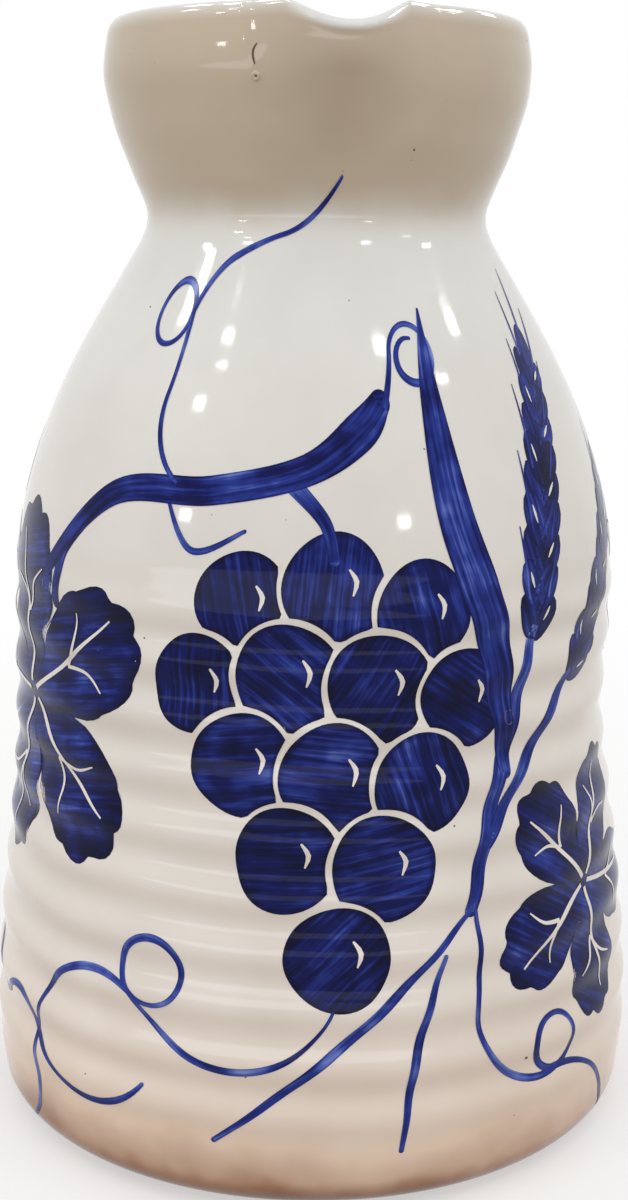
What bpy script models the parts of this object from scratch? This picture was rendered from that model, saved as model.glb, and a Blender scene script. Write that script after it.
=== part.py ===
"""A hand-thrown ceramic jug, modelled the way a potter puts it together.

The belly and the collar are thrown apart and luted at the neck. A pouring spout is set in
a notch of the collar, and a pulled strap handle is luted to the collar and to the belly.
Each joint holds a thin bed of slip. Metres, +Z up, origin at the middle of the flat foot.
The spout points along -Y and the handle stands on +Y.
"""
import math

import bmesh
import bpy

# Driving dimensions: the belly, from the foot upwards
BELLY_RADIUS = 0.0707
BELLY_HEIGHT = 0.021
HEEL_TUCK = 0.003
HEEL_WIDTH = 0.0105
HEEL_HEIGHT = 0.0085
WAIST_RADIUS = 0.0652
WAIST_RISE = 0.069
SHOULDER_RADIUS = 0.0648
SHOULDER_RISE = 0.020
SHOULDER_ARC = 0.060
NECK_CONE = 0.0205
NECK_RADIUS = 0.0343
WALL = 0.005
FLOOR = 0.007
FLOOR_FILLET = 0.014

# A thumb dent in the side of the belly, on the right of the spout
DENT_DEPTH = 0.0016
DENT_HEIGHT = 0.090
DENT_HALF_HEIGHT = 0.017
DENT_HALF_WIDTH = 0.032
DENT_TURN = math.radians(-20)

# The throwing rings: one spiral groove that the potter's finger left on the belly
RING_PITCH = 0.0109
RING_DEPTH = 0.0004
RING_LOW = 0.011
RING_HIGH = 0.122
RING_FADE = 0.016
RING_START = 0.57

# The collar
COLLAR_HEIGHT = 0.0395
COLLAR_UPRIGHT = 0.010
RIM_RADIUS = 0.0444
RIM_TUCK = 0.0026
RIM_WALL = 0.0046
RIM_ROUND = 0.0042
COLLAR_FULLNESS = 1.5

# The pouring spout and its notch in the collar
SPOUT_HALF_WIDTH = 0.0185
SPOUT_DEPTH = 0.029
SPOUT_REACH = 0.009
LIP_DIP = 0.0043
LIP_HALF_WIDTH = 0.0118
LIP_FULLNESS = 1.3
LIP_DEPTH = 0.014

# The handle
HANDLE_TOP_DROP = 0.018
HANDLE_FOOT_HEIGHT = 0.104
HANDLE_REACH = 0.094
HANDLE_RISE = 0.014
HANDLE_FALL = 0.036
HANDLE_WIDTH = 0.024
HANDLE_THICKNESS = 0.0105
HANDLE_ROOT_FLARE = 0.30
HANDLE_TAPER = 0.22
HANDLE_BITE = 0.003

# The luted joints: a bed of slip with a hair of room on both sides of it
SLIP = 0.0006
GAP = 0.0003
NECK_STEP = 0.004
JOINT = SLIP + 2 * GAP

# Heights that follow from the sizes above
WAIST_Z = BELLY_HEIGHT + WAIST_RISE
SHOULDER_Z = WAIST_Z + SHOULDER_RISE
CONE_Z = SHOULDER_Z + SHOULDER_ARC
NECK_Z = CONE_Z + NECK_CONE
RIM_Z = NECK_Z + COLLAR_HEIGHT

# How finely the round pieces are divided
TURN_STEPS = 48
ROWS_PER_RING = 4
SPOUT_TURN_STEPS = 120
HANDLE_POINTS = 26
MERGE = 0.00001
CUTTER_MARGIN = 0.02

# Glaze colours, linear, and their gloss
WHITE_GLAZE = (0.78, 0.76, 0.72, 1.0)
COLLAR_GLAZE = (0.72, 0.68, 0.61, 1.0)
SLIP_CLAY = (0.55, 0.42, 0.32, 1.0)
GLAZE_ROUGHNESS = 0.12
SLIP_ROUGHNESS = 0.7


def spread(first, last, count):
    """Even values from first to last, count steps apart, both ends included."""
    return [first + (last - first) * i / count for i in range(count + 1)]


def ease(share):
    """A smooth step from 0 to 1."""
    return share * share * (3 - 2 * share)


def belly_radius(z):
    """Outer radius of the belly at a height, from the foot to the neck."""
    if z < BELLY_HEIGHT:
        return BELLY_RADIUS - HEEL_TUCK * (1 - z / BELLY_HEIGHT) ** 2
    if z < WAIST_Z:
        share = ease((z - BELLY_HEIGHT) / WAIST_RISE)
        return BELLY_RADIUS + (WAIST_RADIUS - BELLY_RADIUS) * share
    if z < SHOULDER_Z:
        share = ease((z - WAIST_Z) / SHOULDER_RISE)
        return WAIST_RADIUS + (SHOULDER_RADIUS - WAIST_RADIUS) * share
    slope = (SHOULDER_RADIUS - NECK_RADIUS) / (SHOULDER_ARC / 2 + NECK_CONE)
    if z < CONE_Z:
        return SHOULDER_RADIUS - slope * (z - SHOULDER_Z) ** 2 / (2 * SHOULDER_ARC)
    return NECK_RADIUS + slope * (NECK_Z - z)


def collar_radius(z):
    """Outer radius of the collar at a height: a bowl that stands upright and tucks in at the rim."""
    upright = RIM_Z - COLLAR_UPRIGHT
    if z >= upright:
        return RIM_RADIUS - RIM_TUCK * ((z - upright) / COLLAR_UPRIGHT) ** 2
    share = (upright - z) / (upright - NECK_Z)
    return RIM_RADIUS - (RIM_RADIUS - NECK_RADIUS) * share ** COLLAR_FULLNESS


def ring_groove(z, turn):
    """Depth of the throwing groove at a height and a turn: it climbs one pitch in a full turn."""
    fade = min(1.0, max(0.0, min(z - RING_LOW, RING_HIGH - z) / RING_FADE))
    phase = z / RING_PITCH + turn / (2 * math.pi) - RING_START
    return RING_DEPTH * ease(fade) * (1 - math.cos(2 * math.pi * phase)) / 2


def heel_points(count):
    """The rounded heel, from the side of the belly in to the flat foot."""
    side = belly_radius(HEEL_HEIGHT)
    angles = spread(0, math.pi / 2, count)
    return [(side - HEEL_WIDTH * (1 - math.cos(a)), HEEL_HEIGHT * (1 - math.sin(a)))
            for a in angles]


def floor_points(count):
    """The fillet inside the belly, from the floor out to the wall."""
    side = belly_radius(FLOOR + FLOOR_FILLET) - WALL
    angles = spread(math.pi / 2, 0, count)
    return [(side - FLOOR_FILLET * (1 - math.cos(a)), FLOOR + FLOOR_FILLET * (1 - math.sin(a)))
            for a in angles]


def rim_points(count):
    """The rounded top of the rim, from the inner wall over to the outer wall."""
    middle = collar_radius(RIM_Z - RIM_ROUND) - RIM_WALL / 2
    angles = spread(math.pi, 0, count)
    return [(middle + RIM_WALL / 2 * math.cos(a), RIM_Z - RIM_ROUND * (1 - math.sin(a)))
            for a in angles]


def neck_step_radius():
    """Where the neck's seat steps down: each half of the wall keeps the same thickness."""
    return NECK_RADIUS - (WALL - JOINT) / 2


def belly_profile():
    """Outline of the belly from the floor's middle, up inside, and down the outer side."""
    seat_z = NECK_Z - JOINT / 2
    step_z = seat_z - NECK_STEP
    bore = NECK_RADIUS - WALL
    rows = math.ceil((SHOULDER_Z - BELLY_HEIGHT) / RING_PITCH * ROWS_PER_RING)
    inner_z = spread(FLOOR + FLOOR_FILLET, CONE_Z, 13)[1:]
    outer_z = (spread(seat_z, CONE_Z, 2) + spread(CONE_Z, SHOULDER_Z, 10)[1:]
               + spread(SHOULDER_Z, BELLY_HEIGHT, rows)[1:] + spread(BELLY_HEIGHT, HEEL_HEIGHT, 4)[1:-1])
    points = [(0, FLOOR)] + floor_points(5)
    points += [(belly_radius(z) - WALL, z) for z in inner_z]
    points += [(bore, step_z), (neck_step_radius(), step_z), (neck_step_radius(), seat_z)]
    points += [(belly_radius(z), z) for z in outer_z]
    return points + heel_points(5) + [(0, 0)]


def collar_profile(rows):
    """Closed outline of the collar: up inside, over the rim, down outside, round the spigot."""
    land_z = NECK_Z + JOINT / 2
    spigot_z = land_z - NECK_STEP
    bore = NECK_RADIUS - WALL
    heights = spread(land_z, RIM_Z - RIM_ROUND, rows)
    inner = [(collar_radius(z) - WALL - (RIM_WALL - WALL) * (z - land_z) / (RIM_Z - RIM_ROUND - land_z), z)
             for z in heights]
    outer = [(collar_radius(z), z) for z in reversed(heights)]
    spigot = [(neck_step_radius() - JOINT, land_z), (neck_step_radius() - JOINT, spigot_z), (bore, spigot_z)]
    return inner[1:-1] + rim_points(8) + outer[1:] + spigot


def neck_slip_profile():
    """Closed outline of the slip in the neck's stepped seat: two lands and the riser between."""
    top = NECK_Z + JOINT / 2 - GAP
    low = top - NECK_STEP
    outside = NECK_RADIUS - GAP
    inside = NECK_RADIUS - WALL + GAP
    riser_out = neck_step_radius() - GAP
    riser_in = riser_out - SLIP
    return [(riser_in, top), (outside, top), (outside, top - SLIP), (riser_out, top - SLIP),
            (riser_out, low - SLIP), (inside, low - SLIP), (inside, low), (riser_in, low)]


def skin_profile(offset):
    """The whole outer skin, grown outwards and filled to the axis, top to bottom."""
    heights = spread(RIM_Z, NECK_Z, 14) + spread(NECK_Z, SHOULDER_Z, 12)[1:] + spread(SHOULDER_Z, 0, 12)[1:]
    points = [(0, RIM_Z)]
    for z in heights:
        radius = collar_radius(z) if z > NECK_Z else belly_radius(z)
        points.append((radius + offset, z))
    return points + [(0, 0)]


def remove_everything():
    """Start from an empty scene."""
    for item in list(bpy.data.objects):
        bpy.data.objects.remove(item, do_unlink=True)


def add_collection(name):
    """A new collection in the scene."""
    collection = bpy.data.collections.new(name)
    bpy.context.scene.collection.children.link(collection)
    return collection


def finish_mesh(source, name, collection):
    """Turn an evaluated object into a welded mesh object, and drop the source."""
    graph = bpy.context.evaluated_depsgraph_get()
    mesh = bpy.data.meshes.new_from_object(source.evaluated_get(graph))
    mesh.name = name
    work = bmesh.new()
    work.from_mesh(mesh)
    bmesh.ops.remove_doubles(work, verts=work.verts, dist=MERGE)
    work.to_mesh(mesh)
    work.free()
    matrix = source.matrix_world.copy()
    bpy.data.objects.remove(source, do_unlink=True)
    item = bpy.data.objects.new(name, mesh)
    item.matrix_world = matrix
    collection.objects.link(item)
    return item


def turned(name, points, closed, steps, collection):
    """A turned piece: a profile in the XZ plane, spun round the axis with a Screw modifier."""
    mesh = bpy.data.meshes.new(name + "_profile")
    edges = [(i, i + 1) for i in range(len(points) - 1)]
    if closed:
        edges.append((len(points) - 1, 0))
    mesh.from_pydata([(r, 0, z) for r, z in points], edges, [])
    profile = bpy.data.objects.new(name + "_profile", mesh)
    collection.objects.link(profile)
    screw = profile.modifiers.new("turn", "SCREW")
    screw.axis = "Z"
    screw.angle = 2 * math.pi
    screw.steps = steps
    screw.render_steps = steps
    screw.use_merge_vertices = True
    screw.merge_threshold = MERGE
    bpy.context.view_layer.update()
    return finish_mesh(profile, name, collection)


def press_rings(item):
    """Press the throwing groove into the outer face of the belly."""
    for vertex in item.data.vertices:
        radius = math.hypot(vertex.co.x, vertex.co.y)
        if radius < belly_radius(vertex.co.z) - WALL / 2:
            continue
        turn = math.atan2(vertex.co.y, vertex.co.x)
        share = 1 - ring_groove(vertex.co.z, turn) / radius
        vertex.co.x *= share
        vertex.co.y *= share


def press_dent(item):
    """Push the wall in, both faces alike, where a thumb dented the wet belly."""
    for vertex in item.data.vertices:
        radius = math.hypot(vertex.co.x, vertex.co.y)
        if radius < MERGE:
            continue
        turn = math.atan2(vertex.co.y, vertex.co.x) - DENT_TURN
        along = turn * WAIST_RADIUS / DENT_HALF_WIDTH
        up = (vertex.co.z - DENT_HEIGHT) / DENT_HALF_HEIGHT
        share = (radius - DENT_DEPTH * math.exp(-along * along - up * up)) / radius
        vertex.co.x *= share
        vertex.co.y *= share


def pull_spout(item):
    """Swell the front of a turned collar into a beak, and dip its lip in the middle."""
    for vertex in item.data.vertices:
        if vertex.co.y > 0:
            continue
        across = vertex.co.x / SPOUT_HALF_WIDTH
        down = (RIM_Z - vertex.co.z) / SPOUT_DEPTH
        inside = max(0.0, 1 - across * across - down * down)
        lip = max(0.0, 1 - (vertex.co.x / LIP_HALF_WIDTH) ** 2) ** LIP_FULLNESS
        near_rim = max(0.0, 1 - (RIM_Z - vertex.co.z) / LIP_DEPTH)
        vertex.co.y -= SPOUT_REACH * inside * inside
        vertex.co.z -= LIP_DIP * lip * near_rim


def notch_prism(name, inset, collection):
    """The notch for the spout, run through the front wall: a half ellipse open at the rim."""
    half = SPOUT_HALF_WIDTH - inset
    depth = SPOUT_DEPTH - inset
    outline = [(half * math.cos(a), RIM_Z + depth * math.sin(a)) for a in spread(-math.pi, 0, 24)]
    outline += [(half, RIM_Z + CUTTER_MARGIN), (-half, RIM_Z + CUTTER_MARGIN)]
    curve = bpy.data.curves.new(name, "CURVE")
    curve.dimensions = "2D"
    curve.fill_mode = "BOTH"
    run = RIM_RADIUS + SPOUT_REACH + CUTTER_MARGIN
    curve.extrude = run / 2
    spline = curve.splines.new("POLY")
    spline.points.add(len(outline) - 1)
    for point, (x, z) in zip(spline.points, outline):
        point.co = (x, z, 0, 1)
    spline.use_cyclic_u = True
    prism = bpy.data.objects.new(name, curve)
    prism.rotation_euler = (math.pi / 2, 0, 0)
    prism.location = (0, -run / 2, 0)
    collection.objects.link(prism)
    bpy.context.view_layer.update()
    return finish_mesh(prism, name, collection)


def block(name, low, high, collection):
    """A box between two corners, for a cut."""
    mesh = bpy.data.meshes.new(name)
    work = bmesh.new()
    bmesh.ops.create_cube(work, size=1.0)
    for vertex in work.verts:
        vertex.co = [a + (b - a) * (c + 0.5) for a, b, c in zip(low, high, vertex.co)]
    work.to_mesh(mesh)
    work.free()
    item = bpy.data.objects.new(name, mesh)
    collection.objects.link(item)
    return item


def boolean(item, operation, cutter):
    """Add an exact Boolean with a cutter."""
    modifier = item.modifiers.new(operation.lower(), "BOOLEAN")
    modifier.operation = operation
    modifier.solver = "EXACT"
    modifier.object = cutter


def handle_line():
    """Points along the handle's middle line: one cubic curve from the collar to the belly."""
    top_z = RIM_Z - HANDLE_TOP_DROP
    top = collar_radius(top_z) - HANDLE_BITE
    foot = belly_radius(HANDLE_FOOT_HEIGHT) - HANDLE_BITE
    swing = (8 * HANDLE_REACH - top - foot) / 6
    guides = [(top, top_z), (swing, top_z + HANDLE_RISE), (swing, HANDLE_FOOT_HEIGHT + HANDLE_FALL),
              (foot, HANDLE_FOOT_HEIGHT)]
    line = []
    for t in spread(0, 1, HANDLE_POINTS):
        weights = ((1 - t) ** 3, 3 * t * (1 - t) ** 2, 3 * t * t * (1 - t), t ** 3)
        y = sum(w * guide[0] for w, guide in zip(weights, guides))
        z = sum(w * guide[1] for w, guide in zip(weights, guides))
        line.append((t, y, z))
    return line


def strap(name, collection):
    """The pulled strap: an oval section along the handle's line, wider at its luted roots."""
    curve = bpy.data.curves.new(name, "CURVE")
    curve.dimensions = "3D"
    curve.bevel_depth = HANDLE_THICKNESS / 2
    curve.bevel_resolution = 4
    curve.use_fill_caps = True
    line = handle_line()
    spline = curve.splines.new("POLY")
    spline.points.add(len(line) - 1)
    for point, (t, y, z) in zip(spline.points, line):
        point.co = (0, y, z, 1)
        point.radius = 1 - HANDLE_TAPER * t + HANDLE_ROOT_FLARE * abs(2 * t - 1) ** 5
    tube = bpy.data.objects.new(name, curve)
    collection.objects.link(tube)
    bpy.context.view_layer.update()
    item = finish_mesh(tube, name, collection)
    for vertex in item.data.vertices:
        vertex.co.x *= HANDLE_WIDTH / HANDLE_THICKNESS
    return item


def hide_cutters(collection):
    """Cutters show as wires and stay out of renders."""
    for item in collection.objects:
        item.display_type = "WIRE"
        item.hide_render = True


def glaze(item, colour, roughness):
    """Give a piece its own material, smooth shading and sharp edges where it turns hard."""
    material = bpy.data.materials.new(item.name + "_finish")
    material.use_nodes = True
    shader = material.node_tree.nodes["Principled BSDF"]
    shader.inputs["Base Color"].default_value = colour
    shader.inputs["Roughness"].default_value = roughness
    shader.inputs["Metallic"].default_value = 0.0
    item.data.materials.clear()
    item.data.materials.append(material)
    item.data.shade_smooth()
    item.data.set_sharp_from_angle(angle=math.radians(40))


def slip_pad(name, end_block, grown_skin, bare_skin, parts):
    """The slip under one root of the handle: a thin slice of the strap that follows the wall."""
    item = strap(name, parts)
    boolean(item, "INTERSECT", end_block)
    boolean(item, "INTERSECT", grown_skin)
    boolean(item, "DIFFERENCE", bare_skin)
    return item


def build():
    """Make every piece of the jug."""
    remove_everything()
    parts = add_collection("ceramic_jug")
    cutters = add_collection("jug_cutters")

    body = turned("body", belly_profile(), False, TURN_STEPS, parts)
    press_rings(body)
    press_dent(body)

    collar = turned("collar", collar_profile(9), True, TURN_STEPS, parts)
    boolean(collar, "DIFFERENCE", notch_prism("notch", 0, cutters))

    spout = turned("spout", collar_profile(12), True, SPOUT_TURN_STEPS, parts)
    pull_spout(spout)
    boolean(spout, "INTERSECT", notch_prism("spout_edge", JOINT, cutters))

    spout_slip = turned("spout_slip", collar_profile(12), True, SPOUT_TURN_STEPS, parts)
    pull_spout(spout_slip)
    boolean(spout_slip, "INTERSECT", notch_prism("slip_edge", GAP, cutters))
    boolean(spout_slip, "DIFFERENCE", notch_prism("slip_inside", GAP + SLIP, cutters))

    neck_slip = turned("neck_slip", neck_slip_profile(), True, TURN_STEPS, parts)

    handle = strap("handle", parts)
    boolean(handle, "DIFFERENCE", turned("joint_skin", skin_profile(JOINT), False, TURN_STEPS, cutters))

    bare = turned("bare_skin", skin_profile(GAP), False, TURN_STEPS, cutters)
    grown = turned("grown_skin", skin_profile(GAP + SLIP), False, TURN_STEPS, cutters)
    side = HANDLE_WIDTH + CUTTER_MARGIN
    far = HANDLE_REACH + CUTTER_MARGIN
    upper = block("upper_end", (-side, 0, NECK_Z), (side, far, RIM_Z), cutters)
    lower = block("lower_end", (-side, 0, 0), (side, far, NECK_Z), cutters)
    top_slip = slip_pad("handle_top_slip", upper, grown, bare, parts)
    foot_slip = slip_pad("handle_foot_slip", lower, grown, bare, parts)

    hide_cutters(cutters)
    jug = bpy.data.objects.new("jug", None)
    parts.objects.link(jug)
    for item in (body, handle):
        glaze(item, WHITE_GLAZE, GLAZE_ROUGHNESS)
    for item in (collar, spout):
        glaze(item, COLLAR_GLAZE, GLAZE_ROUGHNESS)
    for item in (neck_slip, spout_slip, top_slip, foot_slip):
        glaze(item, SLIP_CLAY, SLIP_ROUGHNESS)
    for item in (body, collar, spout, handle, neck_slip, spout_slip, top_slip, foot_slip):
        item.parent = jug


build()
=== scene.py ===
# %% [markdown]
# # A hand-thrown ceramic jug
# The jug is thrown clay under a white tin glaze, painted in cobalt blue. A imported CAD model
# gives its sizes. This lesson measures that model, builds the glazed walls, the spout, the
# handle and the brushwork over it, and then lights it for a picture.

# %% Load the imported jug
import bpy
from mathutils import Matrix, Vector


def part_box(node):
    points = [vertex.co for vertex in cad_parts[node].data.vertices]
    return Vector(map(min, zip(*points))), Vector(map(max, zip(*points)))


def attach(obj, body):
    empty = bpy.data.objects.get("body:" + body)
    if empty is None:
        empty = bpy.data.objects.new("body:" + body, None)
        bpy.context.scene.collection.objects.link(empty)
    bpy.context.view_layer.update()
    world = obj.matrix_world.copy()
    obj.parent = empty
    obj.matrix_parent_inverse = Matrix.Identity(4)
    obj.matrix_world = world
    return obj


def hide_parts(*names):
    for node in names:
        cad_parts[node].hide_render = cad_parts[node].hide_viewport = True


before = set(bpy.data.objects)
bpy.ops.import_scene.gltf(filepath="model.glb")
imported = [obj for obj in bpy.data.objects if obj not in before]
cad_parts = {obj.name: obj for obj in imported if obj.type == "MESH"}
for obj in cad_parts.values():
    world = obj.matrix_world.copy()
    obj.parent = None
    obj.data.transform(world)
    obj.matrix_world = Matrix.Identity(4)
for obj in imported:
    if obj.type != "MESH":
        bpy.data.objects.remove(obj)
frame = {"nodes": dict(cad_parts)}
print("CAD nodes:", ", ".join(frame["nodes"]))

# %% Tools and units
import math
import random

import bmesh
import bpy
import numpy as np
from mathutils import Matrix, Vector
from mathutils.bvhtree import BVHTree

MM = 0.001
FULL_TURN = 2 * math.pi
scene = bpy.context.scene
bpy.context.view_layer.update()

# %% [markdown]
# ## Measuring the wall
# A thrown wall is a line turned round an axis. The CAD solids have that line in straight
# pieces, with a shallow spiral groove pressed in. Rays shot at the axis from all round find
# the radius at any height: the largest of them is the wall before the groove was pressed.
# The radii are then faired a little, so that the glossy wall shows no corners.

# %% Measure radii with rays
FAR = 0.3
TURN_STEP = 7.5
BACK_FROM = 0.2
BACK_TO = 2.9
FAIR_REACH = 3
TURNS = [math.radians(step) for step in np.arange(0, 360, TURN_STEP)]
BACK_TURNS = [turn for turn in TURNS if BACK_FROM < turn < BACK_TO]


def search_tree(mesh):
    """A search tree over the faces of a mesh, for measuring it with rays."""
    corners = [vertex.co for vertex in mesh.vertices]
    return BVHTree.FromPolygons(corners, [tuple(face.vertices) for face in mesh.polygons])


def ray_radii(tree, z, turns, from_axis):
    """Distances from the axis at which level rays meet a wall."""
    radii = []
    for turn in turns:
        way = Vector((math.cos(turn), math.sin(turn), 0))
        start = Vector((0, 0, z)) if from_axis else way * FAR + Vector((0, 0, z))
        hit = tree.ray_cast(start, way if from_axis else -way)[0]
        if hit:
            radii.append(math.hypot(hit.x, hit.y))
    return radii


def fair(values, spread):
    """Even out a row of values over a few neighbours, and keep the slope at both ends."""
    reach = int(FAIR_REACH * spread)
    kernel = np.exp(-0.5 * (np.arange(-reach, reach + 1) / spread) ** 2)
    low = 2 * values[0] - values[reach:0:-1]
    high = 2 * values[-1] - values[-2:-reach - 2:-1]
    return np.convolve(np.concatenate([low, values, high]), kernel / kernel.sum(), "valid")


body_tree = search_tree(frame["nodes"]["body"].data)
collar_tree = search_tree(frame["nodes"]["collar"].data)
print("rays per height:", len(TURNS), "on the belly,", len(BACK_TURNS), "on the collar")

# %% Read the outer line of belly and collar
ROW = 0.8 * MM
HEEL_HEIGHT = 8.5 * MM
RIM_ROUND = 4.2 * MM
HALF_JOINT = 0.6 * MM
FAIRING = 2.5
rim_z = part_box("collar")[1].z
crease_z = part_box("body")[1].z + HALF_JOINT

belly_z = np.linspace(HEEL_HEIGHT, crease_z - HALF_JOINT, int(crease_z / ROW))
belly_hits = [max(ray_radii(body_tree, z, TURNS, False)) for z in belly_z]
belly_r = fair(np.array(belly_hits), FAIRING)
collar_z = np.linspace(crease_z + HALF_JOINT, rim_z - RIM_ROUND, int((rim_z - crease_z) / ROW))
collar_hits = [max(ray_radii(collar_tree, z, BACK_TURNS, False)) for z in collar_z]
collar_r = fair(np.array(collar_hits), FAIRING)
print("belly radius in mm:", round(belly_r.max() / MM, 1), "rim radius:", round(collar_r[-1] / MM, 1))

# %% Read the inner line
FLOOR_FILLET = 14 * MM
INNER_BELLY_ROW = 4 * ROW
INNER_COLLAR_ROW = 1.5 * ROW
INNER_FAIRING = 1.5
floor_z = body_tree.ray_cast(Vector((0, 0, crease_z)), Vector((0, 0, -1)))[0].z
spigot_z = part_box("collar")[0].z
low_z = np.arange(floor_z + FLOOR_FILLET, spigot_z - 2 * HALF_JOINT, INNER_BELLY_ROW)
high_z = np.arange(spigot_z + HALF_JOINT, rim_z - RIM_ROUND, INNER_COLLAR_ROW)
inner_hits = [np.median(ray_radii(body_tree, z, TURNS, True)) for z in low_z]
inner_hits += [np.median(ray_radii(collar_tree, z, BACK_TURNS, True)) for z in high_z]
inner_z = np.concatenate([low_z, high_z])
inner_r = fair(np.array(inner_hits), INNER_FAIRING)
bore = float(np.interp(crease_z, inner_z, inner_r))
print("floor at mm:", round(floor_z / MM, 1), "bore of the neck:", round(bore / MM, 1))

# %% [markdown]
# ## The turned walls
# The belly and the collar are two thrown pieces that meet in the crease of the neck. Each is
# a grid: the measured line is repeated round the axis, and neighbours are joined by faces.
# The Screw modifier would do the same, but a grid made in code also carries a mark on the
# outer wall, which the potter's marks need next.

# %% Helpers for meshes
def put_in_scene(name, data):
    """An object with this data, linked to the scene."""
    thing = bpy.data.objects.new(name, data)
    scene.collection.objects.link(thing)
    return thing


def finish_mesh(name, work):
    """Keep a bmesh as a smooth mesh object of the scene."""
    mesh = bpy.data.meshes.new(name)
    work.to_mesh(mesh)
    work.free()
    mesh.shade_smooth()
    return put_in_scene(name, mesh)


print("mesh helpers ready")

# %% Turn a line round the axis
POLE = 0.01 * MM


def turn_line(name, line, steps, closed):
    """A mesh object from (radius, height, outer) points. Points on the axis become one pole."""
    work = bmesh.new()
    outer = work.verts.layers.float.new("outer")
    rows = []
    for radius, height, share in line:
        turns = [0] if radius < POLE else [FULL_TURN * step / steps for step in range(steps)]
        row = [work.verts.new((radius * math.cos(a), radius * math.sin(a), height)) for a in turns]
        for vertex in row:
            vertex[outer] = share
        rows.append(row)
    pairs = list(zip(rows, rows[1:])) + ([(rows[-1], rows[0])] if closed else [])
    for low, high in pairs:
        for step in range(steps):
            ring = [low[step % len(low)], low[(step + 1) % len(low)],
                    high[(step + 1) % len(high)], high[step % len(high)]]
            work.faces.new(list(dict.fromkeys(ring)))
    bmesh.ops.recalc_face_normals(work, faces=work.faces)
    return finish_mesh(name, work)


def arc(centre, size, start, end, count):
    """Points of an upright elliptical arc, (radius, height), angles in degrees."""
    angles = np.radians(np.linspace(start, end, count))
    return [(centre[0] + size[0] * math.cos(a), centre[1] + size[1] * math.sin(a)) for a in angles]


print("points within", round(POLE / MM, 3), "mm of the axis become a pole")

# %% Soften the crease where the glaze has run into it
CREASE_SOFTENING = 4.0
CREASE_REACH = 9 * MM
LAP = np.array([0.8, 1.6, 2.4]) * MM
LAP_TUCK = 0.04
outer_z = np.concatenate([belly_z, [crease_z], collar_z])
outer_r = np.concatenate([belly_r, [(belly_r[-1] + collar_r[0]) / 2], collar_r])
near = np.exp(-((outer_z - crease_z) / CREASE_REACH) ** 2)
outer_r = outer_r + near * (fair(outer_r, CREASE_SOFTENING) - outer_r)


def outer_at(z):
    """The radius of the outer line at a height."""
    return float(np.interp(z, outer_z, outer_r))


middle_r = (bore + outer_at(crease_z)) / 2
belly_lap = [(outer_at(crease_z + d) - LAP_TUCK * d, crease_z + d, 0) for d in LAP]
collar_lap = [(outer_at(crease_z - d) - LAP_TUCK * d, crease_z - d, 0) for d in LAP[::-1]]
print("crease radius in mm:", round(outer_at(crease_z) / MM, 2), "lap:", LAP[-1] / MM)

# %% Turn the belly
BELLY_STEPS = 216
FOOT_EDGE = 0.6 * MM
HEEL_POINTS = 14
FILLET_POINTS = 10
foot_corners = [v.co for v in frame["nodes"]["body"].data.vertices if v.co.z < POLE]
foot_r = max(math.hypot(co.x, co.y) for co in foot_corners)
heel_size = (float(belly_r[0]) - foot_r, HEEL_HEIGHT)
heel = arc((foot_r, HEEL_HEIGHT), heel_size, -90, 0, HEEL_POINTS)[:-1]
outside = [(r, z, 1) for r, z in zip(outer_r, outer_z) if z <= crease_z]
inside = [(r, z, 0) for r, z in zip(inner_r[::-1], inner_z[::-1]) if z < crease_z]
fillet_r = inner_r[0] - FLOOR_FILLET
fillet_centre = (fillet_r, floor_z + FLOOR_FILLET)
fillet = arc(fillet_centre, (FLOOR_FILLET, FLOOR_FILLET), 0, -90, FILLET_POINTS)[1:]
belly_line = [(0, 0, 0), (foot_r / 2, 0, 0), (foot_r - FOOT_EDGE, 0, 0)]
belly_line += [(r, z, 1) for r, z in heel] + outside + belly_lap
belly_line += [(middle_r, crease_z + LAP[-1], 0), (middle_r, crease_z, 0), (bore, crease_z, 0)] + inside
belly_line += [(r, z, 0) for r, z in fillet] + [(fillet_r / 2, floor_z, 0), (0, floor_z, 0)]
glazed_body = turn_line("glazed_body", belly_line, BELLY_STEPS, False)
print("belly rows:", len(belly_line), "faces:", len(glazed_body.data.polygons))

# %% Turn the collar
COLLAR_STEPS = 480
RIM_POINTS = 18
RIM_FAIRING = 2.0
RIM_REACH = 7 * MM
OUTER_FALL = 2.5
rim_out = float(outer_r[-1])
rim_in = float(inner_r[-1])
rim_size = ((rim_out - rim_in) / 2, RIM_ROUND)
rim = arc(((rim_out + rim_in) / 2, rim_z - RIM_ROUND), rim_size, 0, 180, RIM_POINTS)[1:-1]
collar_line = collar_lap + [(r, z, 1) for r, z in zip(outer_r, outer_z) if z >= crease_z]
# The outer mark, and the collar's painted shade with it, falls away over the rim's rounding, so the rim's
# edge shows white: a painted highlight where it turns up to the light.
collar_line += [(r, z, max(0.0, 1 - OUTER_FALL * i / len(rim))) for i, (r, z) in enumerate(rim)]
collar_line += [(r, z, 0) for r, z in zip(inner_r[::-1], inner_z[::-1]) if z > crease_z]
faired = np.array(collar_line)
near = np.exp(-((faired[:, 1] - rim_z) / RIM_REACH) ** 2)
for column in (0, 1):
    faired[:, column] += near * (fair(faired[:, column], RIM_FAIRING) - faired[:, column])
faired[:, 1] += near * (rim_z - faired[:, 1].max())
collar_line = [tuple(row) for row in faired]
collar_line += [(bore, crease_z, 0), (middle_r, crease_z, 0), (middle_r, crease_z - LAP[-1], 0)]
glazed_collar = turn_line("glazed_collar", collar_line, COLLAR_STEPS, True)
print("collar rows:", len(collar_line), "faces:", len(glazed_collar.data.polygons))
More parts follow.
